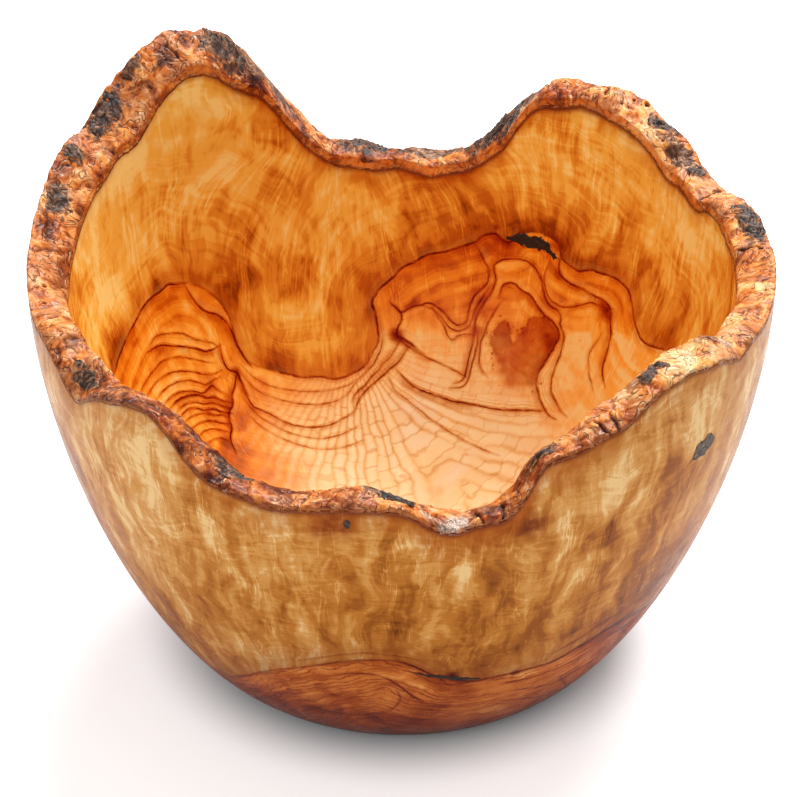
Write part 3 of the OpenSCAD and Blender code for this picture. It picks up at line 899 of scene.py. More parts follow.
def wood_paint():
    paint = Paint("turned_wood")
    heart, lightness, below = paint.split(paint.vector("figure"))
    inside = paint.attribute("inside")
    dark_stain, red_and_rim_shade, pale = paint.split(paint.vector("stain_red_and_pale"))
    place = paint.place()
    place_z = paint.split(place)[2]

    def grain(vector, stretch, *values):
        """Noise drawn out along the wall."""
        return paint.noise(paint.stretched(vector, 1, 1, stretch), *values)

    flow = paint.vector("flow")
    flow_x, flow_y, flow_z = paint.split(flow)
    fine_waver = paint.sway(place, 1.6, 2) * 0.7
    waver = paint.sway(place, 5, 2) * 1.5 + fine_waver
    outside = inside.inverse()
    is_heart = (heart + waver * (outside * 1.0 + 0.32)).step(outside * -1.4 - 0.3, outside * 0.9 + 0.3)

    # Sapwood: soft clouds, flames and rays along the wall, and rings that follow the edge of the heartwood.
    clouds = grain(place, 0.7, 17, 3, 0.55, 0.8)
    bent_flow = paint.wobble(paint.wobble(flow, 16, 12), 5, 2.2)
    flames = grain(bent_flow, 0.3, 5, 3, 0.6, 0.8)
    rays = grain(paint.wobble(flow, 18, 5), 0.06, 1.7, 2, 0.6)
    ray_areas = grain(flow, 0.5, 12, 2)
    ring_drift = paint.sway(place, 22, 2) * 16
    ring_place = paint.join(heart + waver * 0.35 + ring_drift, place_z * 0.02, 0.0)
    rings = paint.noise(ring_place, 1.5, 3, 0.65)
    ring_bands = paint.noise(ring_place, 7, 2, 0.5)
    ring_areas = paint.noise(place, 26, 2).step(0.35, 0.62)
    # The lightness of the broad areas, here and in the tones below, is partly painted light and shade.
    tone = (
        (clouds - 0.5) * 1.6 + (flames - 0.5) * 0.8 + (rays - 0.5) * ray_areas.step(0.42, 0.62) * 0.9
        + (rings - 0.5) * (ring_areas * 0.6 + 0.1) + (ring_bands - 0.5) * 0.45 + lightness * 0.46 + 0.5
    )
    streaks = rays.step(0.58, 0.8) * ray_areas.step(0.5, 0.66)
    thread_noise = grain(paint.wobble(flow, 18, 6), 0.035, 2.4, 2, 0.6)
    threads = abs(thread_noise - 0.5).fall(0.004, 0.03) * grain(flow, 0.25, 6, 2).step(0.46, 0.62)
    tone = tone + streaks * 0.24 + threads * 0.2
    near_heart = heart.step(-13, -1) * heart.fall(-1, 2)
    tone = tone - near_heart * 0.17
    outer_clouds = grain(bent_flow, 0.55, 11, 3, 0.5, 0.4)
    columns = grain(bent_flow, 0.22, 4.6, 3, 0.55)
    feathers = grain(bent_flow, 0.2, 2.2, 3, 0.55)
    strand_noise = grain(paint.wobble(flow, 20, 7), 0.07, 2.6, 2, 0.6)
    strand_areas = grain(bent_flow, 0.3, 7, 2)
    strands = abs(strand_noise - 0.5).fall(0.004, 0.035) * strand_areas.step(0.47, 0.6)
    scan = paint.noise(paint.stretched(bent_flow, 0.07, 0.07, 1), 1.3, 2, 0.6)
    scan_lines = abs(scan - 0.5).fall(0.0, 0.025) * paint.noise(place, 9, 2).step(0.46, 0.6)
    outer_tone = (
        (outer_clouds - 0.5) * 1.15 + (columns - 0.5) * 1.1 + (feathers - 0.5) * 0.45 + (scan - 0.5) * 0.35
        + (rings - 0.5) * ring_areas * 0.5 + lightness * 0.5 + strands * 0.2 - scan_lines * 0.12 + 0.49
    )
    sap_inside = paint.ramp(
        tone, (0.0, 150, 66, 8), (0.22, 198, 106, 22), (0.46, 230, 152, 46), (0.7, 248, 194, 80),
        (1.0, 255, 228, 138))
    sap_outside = paint.ramp(
        outer_tone, (0.0, 112, 52, 10), (0.25, 154, 84, 22), (0.5, 188, 116, 42), (0.72, 212, 148, 74),
        (1.0, 238, 196, 134))
    sap = paint.mix(sap_outside, sap_inside, inside)

    # Heartwood: broad bands and fine rings of the same growth.
    heart_bands = paint.noise(paint.join(heart + waver * 0.6, flow_z * 0.05, 0.0), 3.6, 3, 0.6)
    heart_clouds = paint.noise(place, 12, 3, 0.5, 1.0)
    heart_rings = paint.noise(paint.join(heart + waver * 0.5, 0.0, 0.0), 0.9, 2, 0.6)
    heart_tone = (
        (heart_clouds - 0.5) * 1.1 + (heart_bands - 0.5) * 0.9 + (heart_rings - 0.5) * 0.3 + (flames - 0.5) * 0.4
        + (streaks + threads) * inside * 0.2 + lightness * 0.5 + 0.62
    )
    heart_inside = paint.ramp(
        heart_tone, (0.0, 154, 52, 2), (0.25, 208, 96, 8), (0.5, 241, 145, 30),
        (0.74, 255, 184, 66), (1.0, 255, 222, 138))
    grain_depth = heart + waver * 1.6 + paint.sway(place, 14, 2) * 8
    grain_streaks = paint.noise(paint.join(grain_depth * 0.5, flow_x * 0.11, flow_y * 0.11), 1.5, 3, 0.65)
    heart_outside = paint.ramp(
        (heart_tone - 0.5) * 0.8 + (grain_streaks - 0.5) * 0.55 + 0.44, (0.0, 88, 28, 4), (0.3, 134, 50, 8),
        (0.52, 172, 80, 22), (0.74, 206, 114, 46), (1.0, 236, 162, 86))
    grain_phase = grain_depth / 1.7
    grain_parts = paint.join(grain_phase.floor() * 6.1, flow_x * 0.07, flow_y * 0.07)
    grain_presence = paint.noise(grain_parts, 2.0, 1).step(0.34, 0.54)
    grain_lines = grain_phase.off_middle().fall(0.02, 0.18) * grain_presence
    heartwood = paint.mix(heart_outside, heart_inside, inside)
    by_heart = (heart + waver * 2).step(-15, -0.5) * outside
    sap = paint.mix(sap, srgb(152, 76, 26), by_heart * 0.5)
    colour = paint.mix(sap, heartwood, is_heart)
    halo_rings = heart.step(-9, -0.5) * heart.fall(-0.5, 0.5) * inside
    density = halo_rings * ((rings - 0.5) * 0.9 + 0.28) + grain_lines * is_heart * outside * 0.8

    # The floor is paler, partly in its wood and partly by a painted sheen of the light's reflection, and a net of
    # rays and rings lies over it.
    pale_tone = (clouds - 0.5) * 0.7 + (flames - 0.5) * 0.4 + (heart_bands - 0.5) * 0.5 + lightness * 0.5 + 0.2
    pale_wood_and_sheen = paint.ramp(pale_tone, (0.0, 244, 184, 112), (0.45, 255, 236, 178), (1.0, 255, 252, 230))
    colour = paint.mix(colour, pale_wood_and_sheen, pale * is_heart * 0.95)
    direction, distance, net = paint.split(paint.vector("net"))
    ray_phase = direction / 4.6 + paint.sway(place, 9, 2) * 1.2
    ray_number = ray_phase.floor()
    brick_shift = paint.noise(paint.join(ray_number * 7.3, 0.0, 3.0), 1.7, 0) * 9
    ring_phase = distance / 4.4 + brick_shift + paint.sway(place, 5, 2) * 1.2
    ring_number = ring_phase.floor()
    ray_presence = paint.noise(paint.join(ray_number * 7.3, distance * 0.1, 3.0), 2.0, 1).step(0.32, 0.56, 0.2, 1)
    ring_presence = paint.noise(paint.join(ray_number * 5.7, ring_number * 3.3, 9.0), 1.3, 0).step(0.42, 0.58)
    ray_side = ray_phase.off_middle()
    ray_lines = ray_side.step(0.24, 0.5) * ray_presence
    ridges = ray_side.fall(0.05, 0.3) * ray_presence
    joints = ring_phase.off_middle().step(0.36, 0.5) * ring_presence
    cell_tone = paint.noise(paint.join(ray_number * 3.1, ring_number * 4.7, 0.0), 1.3, 0).step(0.4, 0.66)
    in_net = net * is_heart
    colour = paint.mix(colour, srgb(255, 250, 224), ridges * in_net * 0.4)
    density = density + in_net * (ray_lines * 0.3 + joints * 0.26 + cell_tone * 0.08)

    # The dark patch of the right end grain, with a ragged edge of small spots.
    patch = paint.attribute("patch") + paint.sway(place, 3.0, 4, 0.65) * 5
    patch_tone = paint.noise(place, 5, 3, 0.5, 1.2) - 0.5 + patch.step(0, 5, 0.12, -0.1)
    patch_weight = patch.step(-0.3, place_z.step(36, 52, 6.0, 0.8)) * place_z.step(33, 47, 0.0, 1)
    patch_rim = patch.step(-1.6, -0.1) * patch.fall(0.3, 1.6) * place_z.step(38, 46)
    spots = paint.cells(place, 1.5).fall(0.22, 0.36) * patch_rim * paint.noise(place, 6, 1).step(0.42, 0.55)
    density = density + patch_weight * (patch_tone * 0.9 + 0.68) + spots * 0.9 + patch_rim * 0.15

    # The drawn lines of the figure: a dark core, darker wood on one side, lighter on the other, and echoes.
    thickness = paint.noise(place, 4, 2).step(0.32, 0.68, 0.25, 1.5)
    spread = paint.noise(place, 7, 2).step(0.35, 0.62, 0.25, 1.2)
    echo_drift = paint.sway(place, 6, 1) * 1.4 + 7
    jitter = waver * 0.32 + paint.sway(place, 1.1, 2, 0.6) * 0.55
    for name in LINE_FIELDS:
        signed, near, strength = paint.split(paint.vector(name))
        from_line = signed + jitter
        away = abs(from_line)
        weight = near * strength
        dark_side = from_line.step(-0.4, 0.1) * from_line.fall(0.1, strength * 3.6 + 0.3)
        light_side = from_line.step(-3.4, -0.4) * from_line.fall(-0.5, -0.1)
        echo_phase = from_line * (from_line.step(-1, 1, 1.0, 1.35)) + echo_drift
        echo_presence = paint.noise(paint.join(echo_phase.floor() * 3.7, 0.0, heart * 0.05), 1.7, 1).step(0.36, 0.54)
        echoes = echo_phase.off_middle().fall(0.04, 0.26) * echo_presence * away.fall(1.4, 3.6)
        halo = away.fall(0.1, 0.9)
        core = away.fall(0.02, 0.36) * thickness
        colour = paint.mix(colour, srgb(255, 204, 104), light_side * weight * inside * 0.3)
        density = density + weight * (dark_side * spread * 0.55 + echoes * 0.32 + halo * 0.4 + core * 1.8)

    # Pores, and painted shade that darkens the outer wood towards the foot, where the floor is close.
    pores = paint.cells(paint.stretched(flow, 1, 1, 0.3), 0.9).fall(0.05, 0.16)
    pores = pores * paint.noise(place, 3, 2).step(0.5, 0.66)
    foot_shade = place_z.step(2, 31, 0.95, 0) + place_z.step(1, 7, 2.2, 0)
    stain_tone = dark_stain * paint.noise(paint.stretched(place, 0.6, 0.6, 1), 2, 2).step(0.3, 0.6, 0.5, 1.2)
    density = density + pores * 0.4 + foot_shade * outside + stain_tone * 2.2
    passes = [inside * math.log(a / b) + math.log(b) for a, b in zip(STAIN_INSIDE, STAIN_AND_SHADE_OUTSIDE)]
    colour = paint.darkened_through(colour, density.math("MINIMUM", 3.2), passes)

    # Inside, painted shade in a red-brown falls below the overhanging rim. Outside, a brown tint runs down from the
    # rim.
    under_rim_shade = (below + (clouds - 0.5) * 12).fall(0.5, 7.5) * red_and_rim_shade * inside
    colour = paint.mix(colour, srgb(188, 84, 16), under_rim_shade * 0.6)
    tint = (below + (flames - 0.5) * 16).fall(1, 11) * red_and_rim_shade * outside
    colour = paint.mix(colour, srgb(170, 80, 14), tint * 0.66)

    # Under the bark, the last wood of the log is red-brown.
    rim_waver = paint.sway(place, 3, 3) * 1.6
    under_bark = (below + rim_waver).fall(0.2, 2.6) * red_and_rim_shade
    colour = paint.mix(colour, paint.mix(srgb(126, 50, 18), srgb(134, 42, 8), inside), under_bark)

    gloss = paint.noise(place, 6, 3)
    paint.set(Base_Color=colour, Roughness=gloss.step(0.3, 0.7, 0.24, 0.36), Specular_IOR_Level=0.06,
              Coat_Weight=0.03, Coat_Roughness=0.12)
    paint.bump(flames * 0.4 + rings * 0.3 + pores * -0.6 + paint.noise(place, 2.2, 3), 0.05)
    return paint.material


# How red the wood is under the bark, and inside how strong the painted shade below the rim is, by direction: (degrees
# from +X, strength).
INNER_RED = [
    (0, 0.3), (15, 0.4), (28, 0.9), (45, 0.8), (60, 1.0), (75, 1.0), (90, 0.8), (105, 0.9), (118, 1.0), (128, 0.6),
    (138, 0.3), (150, 0.35), (165, 0.5), (190, 0.4), (230, 0.4), (280, 0.5), (320, 0.45), (360, 0.3)
]
OUTER_RED = [
    (0, 0.3), (180, 0.3), (230, 0.45), (262, 0.8), (275, 1.0), (292, 1.0), (302, 0.5), (320, 0.35), (360, 0.3)
]
# Dark and brown stains: (pixel x and y, width in mm, strength, inside).
STAINS = [
    (327, 519, 2.2, 0.5, False), (341, 526, 1.8, 0.6, False), (318, 529, 1.6, 0.4, False),
    (352, 514, 1.4, 0.4, False), (516, 672, 0.7, 1.0, False), (452, 675, 0.8, 1.0, False),
    (397, 335, 1.2, 0.9, True), (606, 311, 1.8, 0.75, True), (237, 372, 0.9, 0.7, True), (497, 227, 0.7, 0.5, True),
    (486, 312, 1.6, 0.25, True), (490, 240, 2.0, 0.3, True), (505, 241, 1.8, 0.3, True), (557, 247, 2.0, 0.4, True),
    (478, 330, 1.4, 0.3, True), (547, 336, 1.6, 0.35, True), (550, 345, 1.2, 0.3, True), (505, 330, 1.6, 0.3, True),
    (533, 525, 2.6, 0.45, False)
]
# How much darker the floor and the front wall are inside, where no photograph shows them, and from where on
# along Y to where, in metres.
HIDDEN_SHADE = 0.7
HIDDEN_FROM_Y = 0.04
HIDDEN_TO_Y = -0.05
# The flow of the flames is gathered below this place: (pixel), and widths in metres.
FAN_APEX_PX = (345, 165)
FAN_WIDTH = 34 * MM
FAN_PULL = 70 * MM
FAN_TOP = 8 * MM
PATCH_NEAR = 30 * MM


def flow_of(at, reach, inner):
    """Places on the walls unrolled, in mm, drawn together to the middle of the fan."""
    apex = sight_points([FAN_APEX_PX], True)[0]
    turn = turned(at, direction_of(apex)) * INNER_RADIUS
    drop_below = np.maximum(reach_inside(apex[2]) - reach, -FAN_TOP) + FAN_WIDTH
    pull = np.exp(-(turn / FAN_WIDTH) ** 2) * inner
    gathered = turn * (pull * FAN_PULL / drop_below + 1 - pull)
    flow_at = at + (gathered - turn) / INNER_RADIUS
    return polar(np.where(inner, INNER_RADIUS, OUTER_RADIUS), flow_at, reach + 0.5 * ~inner) / MM


def build_wood():
    grid, reach, inside = wood_grid()
    poles = [(0, 0, floor_height), (0, 0, 0)]
    piece = grid_object("wood", grid, poles)
    points = np.concatenate([grid.reshape(-1, 3), poles])
    normals = np.concatenate([grid_normals(grid).reshape(-1, 3), [(0, 0, 1), (0, 0, -1)]])
    reach = np.concatenate([reach.ravel(), [0, 0]])
    inside = np.concatenate([inside.ravel(), [1, 0]])
    at = direction_of(points)
    inner = inside > 0.5
    heart, lightness, dark, red, pale, top = np.zeros((6, len(points)))
    net, *line_fields = np.zeros((1 + len(LINE_FIELDS), len(points), 3))

    for is_in, seen_edge, hidden_edge, reach_of, lines, areas, redness in (
            (True, HEART_EDGE_PX, HEART_EDGE_FRONT_INSIDE, reach_inside, INSIDE_LINES, INSIDE_AREAS, INNER_RED),
            (False, HEART_EDGE_OUTSIDE_PX, HEART_EDGE_OUTSIDE_BACK, reach_outside, OUTSIDE_LINES, OUTSIDE_AREAS,
             OUTER_RED)):
        here = inner == is_in
        seen = sight_points(smooth_path(seen_edge, 3), is_in)
        hidden = on_wall(*np.array(smooth_path(hidden_edge, 2)).T * [[1], [MM]], is_in)
        loop = np.concatenate([seen, hidden])
        heart[here] = loop_field(points[here], reach[here], loop, reach_of(loop[:, 2]))
        lightness[here] = area_field(points[here], areas, is_in)
        for field, group in zip(line_fields, apart(lines, is_in)):
            field[here] = line_field(points[here], normals[here], group)
        for x, y, width, strength, stain_in in STAINS:
            if stain_in == is_in:
                dark[here] += strength * nearness(points[here], (x, y), width, is_in)
        red[here] = np.interp(np.degrees(at[here]) % 360, *np.array(redness).T)
        top[here] = edge_height(wood_top_fit, at[here], 0 if is_in else 1)
    lightness = np.where(lightness > 0, np.tanh(lightness), lightness)
    lightness -= HIDDEN_SHADE * inner * smooth_step(-HIDDEN_FROM_Y, -HIDDEN_TO_Y, -points[:, 1])
    net[inner] = net_field(points[inner])
    pale[inner] = coverage(points[inner], PALE_AREAS)

    patch_loop = sight_points(smooth_path(DARK_PATCH_PX + DARK_PATCH_PX[:1], 2)[:-1], True)
    patch = np.full(len(points), -FAR)
    near = np.nonzero(inner & (np.linalg.norm(points - patch_loop.mean(0), axis=1) < PATCH_NEAR))[0]
    patch[near] = np.clip(
        loop_field(points[near], reach[near], patch_loop, reach_inside(patch_loop[:, 2])), -FAR, FAR)

    for name, values in (
            ("figure", np.stack([heart, lightness, (top - points[:, 2]) / MM], -1)), ("inside", inside), ("net", net),
            ("patch", patch), ("flow", flow_of(at, reach, inner)), *zip(LINE_FIELDS, line_fields),
            ("stain_red_and_pale", np.stack([np.clip(dark, 0, 1), red, pale], -1))):
        set_attribute(piece, name, values)
    finish_piece(piece, wood_paint(), "turned_wood", "bowl_body")


build_wood()


# The bark layer: a band with a true relief of fine ridges, cut flush with both walls.
RIM_COLUMNS = 1900
BAND_ROWS = 36
SIDE_ROWS = 14
RELIEF = 1.2 * MM
TOP_CLEARANCE = 0.02 * MM
# The middle of the band lies this far from the axis, and the band is this wide, in mm.
RIM_RADIUS_MM = 95
RIM_WIDTH_MM = 10
# Cracks across the band: (degrees from +X, first share, last share, lean in degrees, depth in mm).
RIM_CRACKS = [
    (51, 0.35, 1.0, 1.5, 1.3), (2, 0.0, 0.7, -1, 1.1), (326, 0.0, 0.6, 1, 0.8),
    (299.5, 0.4, 1.0, 1, 1.1), (302, 0.5, 1.0, -1, 1.0), (281, 0.45, 1.0, 1, 1.0), (285, 0.5, 1.0, -1, 0.9),
    (134, 0.1, 0.6, 2, 0.8), (63, 0.3, 1.0, 2, 0.9), (23, 0.1, 0.8, 1.5, 0.9), (220, 0.2, 1.0, 1, 0.7),
    (256, 0.3, 1.0, -1, 0.7)
]
# Round holes: (degrees from +X, share, radius in mm).
RIM_HOLES = [
    (44, 0.88, 0.8), (41.5, 0.82, 0.6), (39.5, 0.66, 1.1), (188, 0.55, 0.7), (192.5, 0.6, 0.7),
    (36.5, 0.3, 0.5), (47, 0.35, 0.6), (46, 0.7, 0.5), (55, 0.5, 0.5), (12, 0.85, 0.5), (350, 0.4, 0.5),
    (202, 0.7, 0.5)
]
# Grey and black remains of bark: (degrees from +X, share, length and width in mm, darkness).
RIM_GREY = [
    (150.5, 0.7, 6.5, 4, 1.0), (141.5, 0.85, 3.5, 2, 1.0), (160, 0.65, 4, 3, 0.9),
    (168.5, 0.6, 5, 3.5, 0.8), (136, 0.4, 4, 2, 0.5), (123, 0.5, 8, 5, 0.9), (123.5, 0.15, 2, 1.5, 1.0),
    (119, 0.5, 6, 4.5, 0.9), (113, 0.5, 6, 4, 0.85), (97.5, 0.6, 9, 4.5, 0.95), (86, 0.6, 8, 4, 0.85),
    (80.5, 0.7, 4, 2.5, 0.9), (73, 0.4, 6, 3.5, 0.9), (68.5, 0.7, 4, 3, 0.9), (39.5, 0.65, 5, 2.4, 0.95),
    (66, 0.5, 4, 3, 0.8), (49, 0.6, 3, 2, 0.5), (33, 0.5, 6, 3.5, 0.8), (28.5, 0.45, 3.5, 2.5, 0.6),
    (9, 0.7, 8, 3.5, 1.0), (4, 0.5, 3, 2, 0.6), (326, 0.25, 6, 2, 0.5), (308, 0.3, 3, 2, 0.5), (283, 0.6, 4, 4, 0.6),
    (290, 0.5, 4, 3, 0.7), (301, 0.75, 4, 2.0, 0.4), (292, 0.3, 4, 3, 0.6), (268.5, 0.25, 8.5, 3.0, 1.0),
    (243.5, 0.25, 6, 2, 1.0), (213.5, 0.58, 5, 2.5, 0.9), (206, 0.4, 4, 3, 0.4), (277, 0.3, 3, 2, 0.3),
    (178, 0.5, 4, 3, 0.3)
]

# A tuft of pale fibres in the notch, and glossy dark red bark: as above.
RIM_WHITE = [
    (277.5, 0.8, 3.6, 4.0, 0.6), (273.5, 0.75, 2.0, 2.0, 0.5), (328, 0.6, 3.0, 2.5, 0.4),
    (192, 0.3, 2.0, 1.5, 0.4)
]
RIM_RED = [
    (289, 0.55, 4.5, 5.0, 1.0), (284, 0.75, 4.0, 3.0, 0.9), (262, 0.9, 8.0, 2.0, 0.4),
    (246, 0.9, 8.0, 2.0, 0.4), (230, 0.9, 9.0, 2.0, 0.4), (60, 0.2, 6.0, 3.0, 0.6), (118, 0.1, 8.0, 2.0, 0.6),
    (304, 0.8, 4.0, 2.5, 0.5)
]


# How pale and golden the bark layer is, by direction: (degrees from +X, paleness).
RIM_PALE = [
    (0, 0.5), (20, 0.5), (45, 0.7), (60, 0.4), (75, 0.3), (100, 0.2), (120, 0.3), (133, 0.3),
    (145, 0.3), (155, 0.4), (175, 0.35), (195, 0.6), (206, 0.5), (215, 0.2), (228, 0.0), (250, 0.0), (262, 0.4),
    (290, 0.3), (305, 0.6), (314, 1.2), (325, 0.7), (342, 0.7), (352, 0.6), (360, 0.5)
]


def off_rim_place(at, share, degrees, middle, length=1, width=1):
    """How far places on the band are from one of them, in mm, or in the lengths and widths of a spot there."""
    along = turned(at, np.radians(degrees)) * RIM_RADIUS_MM
    return np.hypot(along / length, (share - middle) * RIM_WIDTH_MM / width)


def rim_spots(at, share, spots):
    """How much spots cover the band, from 0 to 1, at each direction and share of the way to the outer wall."""
    flat = polar(100 * MM, at, share * 10 * MM)
    ragged = noise(flat, 2.2 * MM, 47) * 0.5 + noise(flat, 0.9 * MM, 48) * 0.3
    cover = np.zeros(np.shape(share))
    for *place, strength in spots:
        cover = np.maximum(cover, strength * (1 - smooth_step(0.4, 1.3, off_rim_place(at, share, *place) + ragged)))
    return cover


def rim_fields(at, share):
    """Relief, greyness and crests, from 0 to 1, at each direction and share of the way to the outer wall."""
    height = edge_height(edge_top_fit, at, share)
    flat = polar(across_wall(share, height), at, height)
    warp = np.stack([noise(flat, 7 * MM, k) for k in (1, 2, 3)], -1)
    fine_warp = np.stack([noise(flat, 2.6 * MM, k) for k in (4, 5, 6)], -1)
    bent = flat + warp * 4.5 * MM + fine_warp * 0.9 * MM
    swirl = noise(bent, 6.5 * MM, 7)
    ridges = 0.5 + 0.5 * np.sin(17 * swirl + 2.5 * noise(bent, 3 * MM, 8))
    crests = smooth_step(0.7, 0.97, ridges)
    plates = noise(bent, 4.6 * MM, 9) * 3
    terraces = (np.floor(plates) + smooth_step(0.65, 1.0, plates - np.floor(plates))) / 3
    creases = 1 - np.clip(np.abs(noise(bent, 3.6 * MM, 10)) * 5, 0, 1)
    fine = noise(flat + warp * 2 * MM, 1.1 * MM, 11)
    amount = smooth_step(-0.5, 0.5, noise(flat, 14 * MM, 12))
    relief = (0.52 + 0.16 * (ridges - 0.5) * (0.45 + amount) + 0.48 * terraces - 0.26 * creases * (1.1 - amount)
              + 0.02 * fine)
    for degrees, first, last, lean, depth in RIM_CRACKS:
        off = turned(at, np.radians(degrees + lean * (share - 0.5))) * RIM_RADIUS_MM + 0.5 * noise(flat, 2 * MM, 13)
        along = smooth_step(first - 0.08, first + 0.08, share) * (1 - smooth_step(last - 0.02, last + 0.1, share))
        relief -= np.exp(-(off / 0.38) ** 2) * along * depth / (RELIEF / MM)
    for degrees, middle, size in RIM_HOLES:
        off = off_rim_place(at, share, degrees, middle)
        relief -= (1 - smooth_step(size * 0.6, size * 1.15, off)) * 0.9
        relief += np.exp(-((off - size * 1.5) / (size * 0.45)) ** 2) * 0.12
    grey = np.zeros(np.shape(share))
    ragged = noise(bent, 2.4 * MM, 14) * 0.55 + noise(flat, 1.2 * MM, 15) * 0.25
    for *place, darkness in RIM_GREY:
        off = off_rim_place(at, share, *place) + ragged * 0.8
        grey = np.maximum(grey, darkness * (1 - smooth_step(0.55, 1.25, off)))
    return relief, grey, crests


def rim_height(at, share, relief):
    """Height of the top of the bark layer, which falls off unevenly along its two edges."""
    top = edge_height(edge_top_fit, at, share)
    chips = 0.25 + 0.9 * smooth_step(-0.3, 0.5, noise(polar(0.1, at, 0), 3.5 * MM, 17))
    edges = np.exp(-share * 10 / 0.5) + np.exp(-(1 - share) * 10 / 0.5)
    height = top + RELIEF * (np.clip(relief, -1.0, 1) - 0.72) - 0.7 * MM * edges * chips
    return np.minimum(height, cad_high.z - TOP_CLEARANCE)


def build_rim():
    at = np.arange(RIM_COLUMNS) * FULL_TURN / RIM_COLUMNS
    band = np.linspace(0, 1, BAND_ROWS)
    grid_at, grid_share = np.meshgrid(at, band)
    relief, grey, crests = rim_fields(grid_at, grid_share)
    heights = rim_height(grid_at, grid_share, relief)
    band_points = polar(across_wall(grid_share, heights), grid_at, heights)

    def side(start, share, wall_at, way):
        """Rows down one side of the layer, in the wall by a little, to a ragged foot."""
        round_place = polar(0.1, at, 0)
        ragged = noise(round_place, 4 * MM, 40 + way) * 0.6 + noise(round_place, 1.3 * MM, 44 + way) * 0.4
        foot = edge_height(wood_top_fit, at, share) - (0.9 + 0.8 * ragged) * MM
        rows = []
        for u in np.arange(1, SIDE_ROWS + 1) / SIDE_ROWS:
            z = start + (foot - start) * u
            place = polar(0.1, at, z * 2.2)
            layers = np.clip(0.5 + noise(place, 1.7 * MM, 16 + way) + 0.5 * noise(place, 0.7 * MM, 20 + way), 0, 1)
            depth = (0.04 + 0.3 * layers * smooth_step(0, 0.15, u) * (1 - smooth_step(0.6, 0.9, u))) * MM
            depth = depth + (0.5 * MM if u == 1 else 0)
            rows.append(polar(wall_at(z) + way * depth, at, z))
        return np.array(rows)

    inner_side = side(heights[0], 0, inner_at, 1)[::-1]
    outer_side = side(heights[-1], 1, outer_at, -1)
    under = (inner_side[:1] + outer_side[-1:]) / 2
    grid = np.concatenate([inner_side, band_points, outer_side, under])
    piece = grid_object("bark_layer", grid)

    def with_sides(field, level=None):
        """The band's field, with rows for its two sides that have a level, or else go on as the band ends."""
        first, last = (field[:1], field[-1:]) if level is None else (np.full((1, RIM_COLUMNS), level),) * 2
        return np.concatenate([np.repeat(first, SIDE_ROWS, 0), field, np.repeat(last, SIDE_ROWS + 1, 0)])

    sides = np.concatenate([
        np.linspace(1, 0.2, SIDE_ROWS), np.zeros(BAND_ROWS), -np.linspace(0.2, 1, SIDE_ROWS), [-1]])
    paleness = np.interp(np.degrees(at), *np.array(RIM_PALE).T)
    for name, values in (
            ("relief", with_sides(np.clip(relief, -0.6, 1.2), 0.45)), ("crest", with_sides(crests, 0)),
            ("grey", with_sides(grey)), ("white", with_sides(rim_spots(grid_at, grid_share, RIM_WHITE))),
            ("red", with_sides(rim_spots(grid_at, grid_share, RIM_RED))),
            ("side", np.repeat(sides[:, None], RIM_COLUMNS, 1)), ("pale", np.repeat(paleness[None], len(grid), 0))):
        set_attribute(piece, name, values.ravel())
    finish_piece(piece, bark_paint(), "edge_bark", "bark_edge")


# The shares of red, green and blue light that pass the red bark, at a density of 1.
RED_BARK = (0.5, 0.26, 0.2)


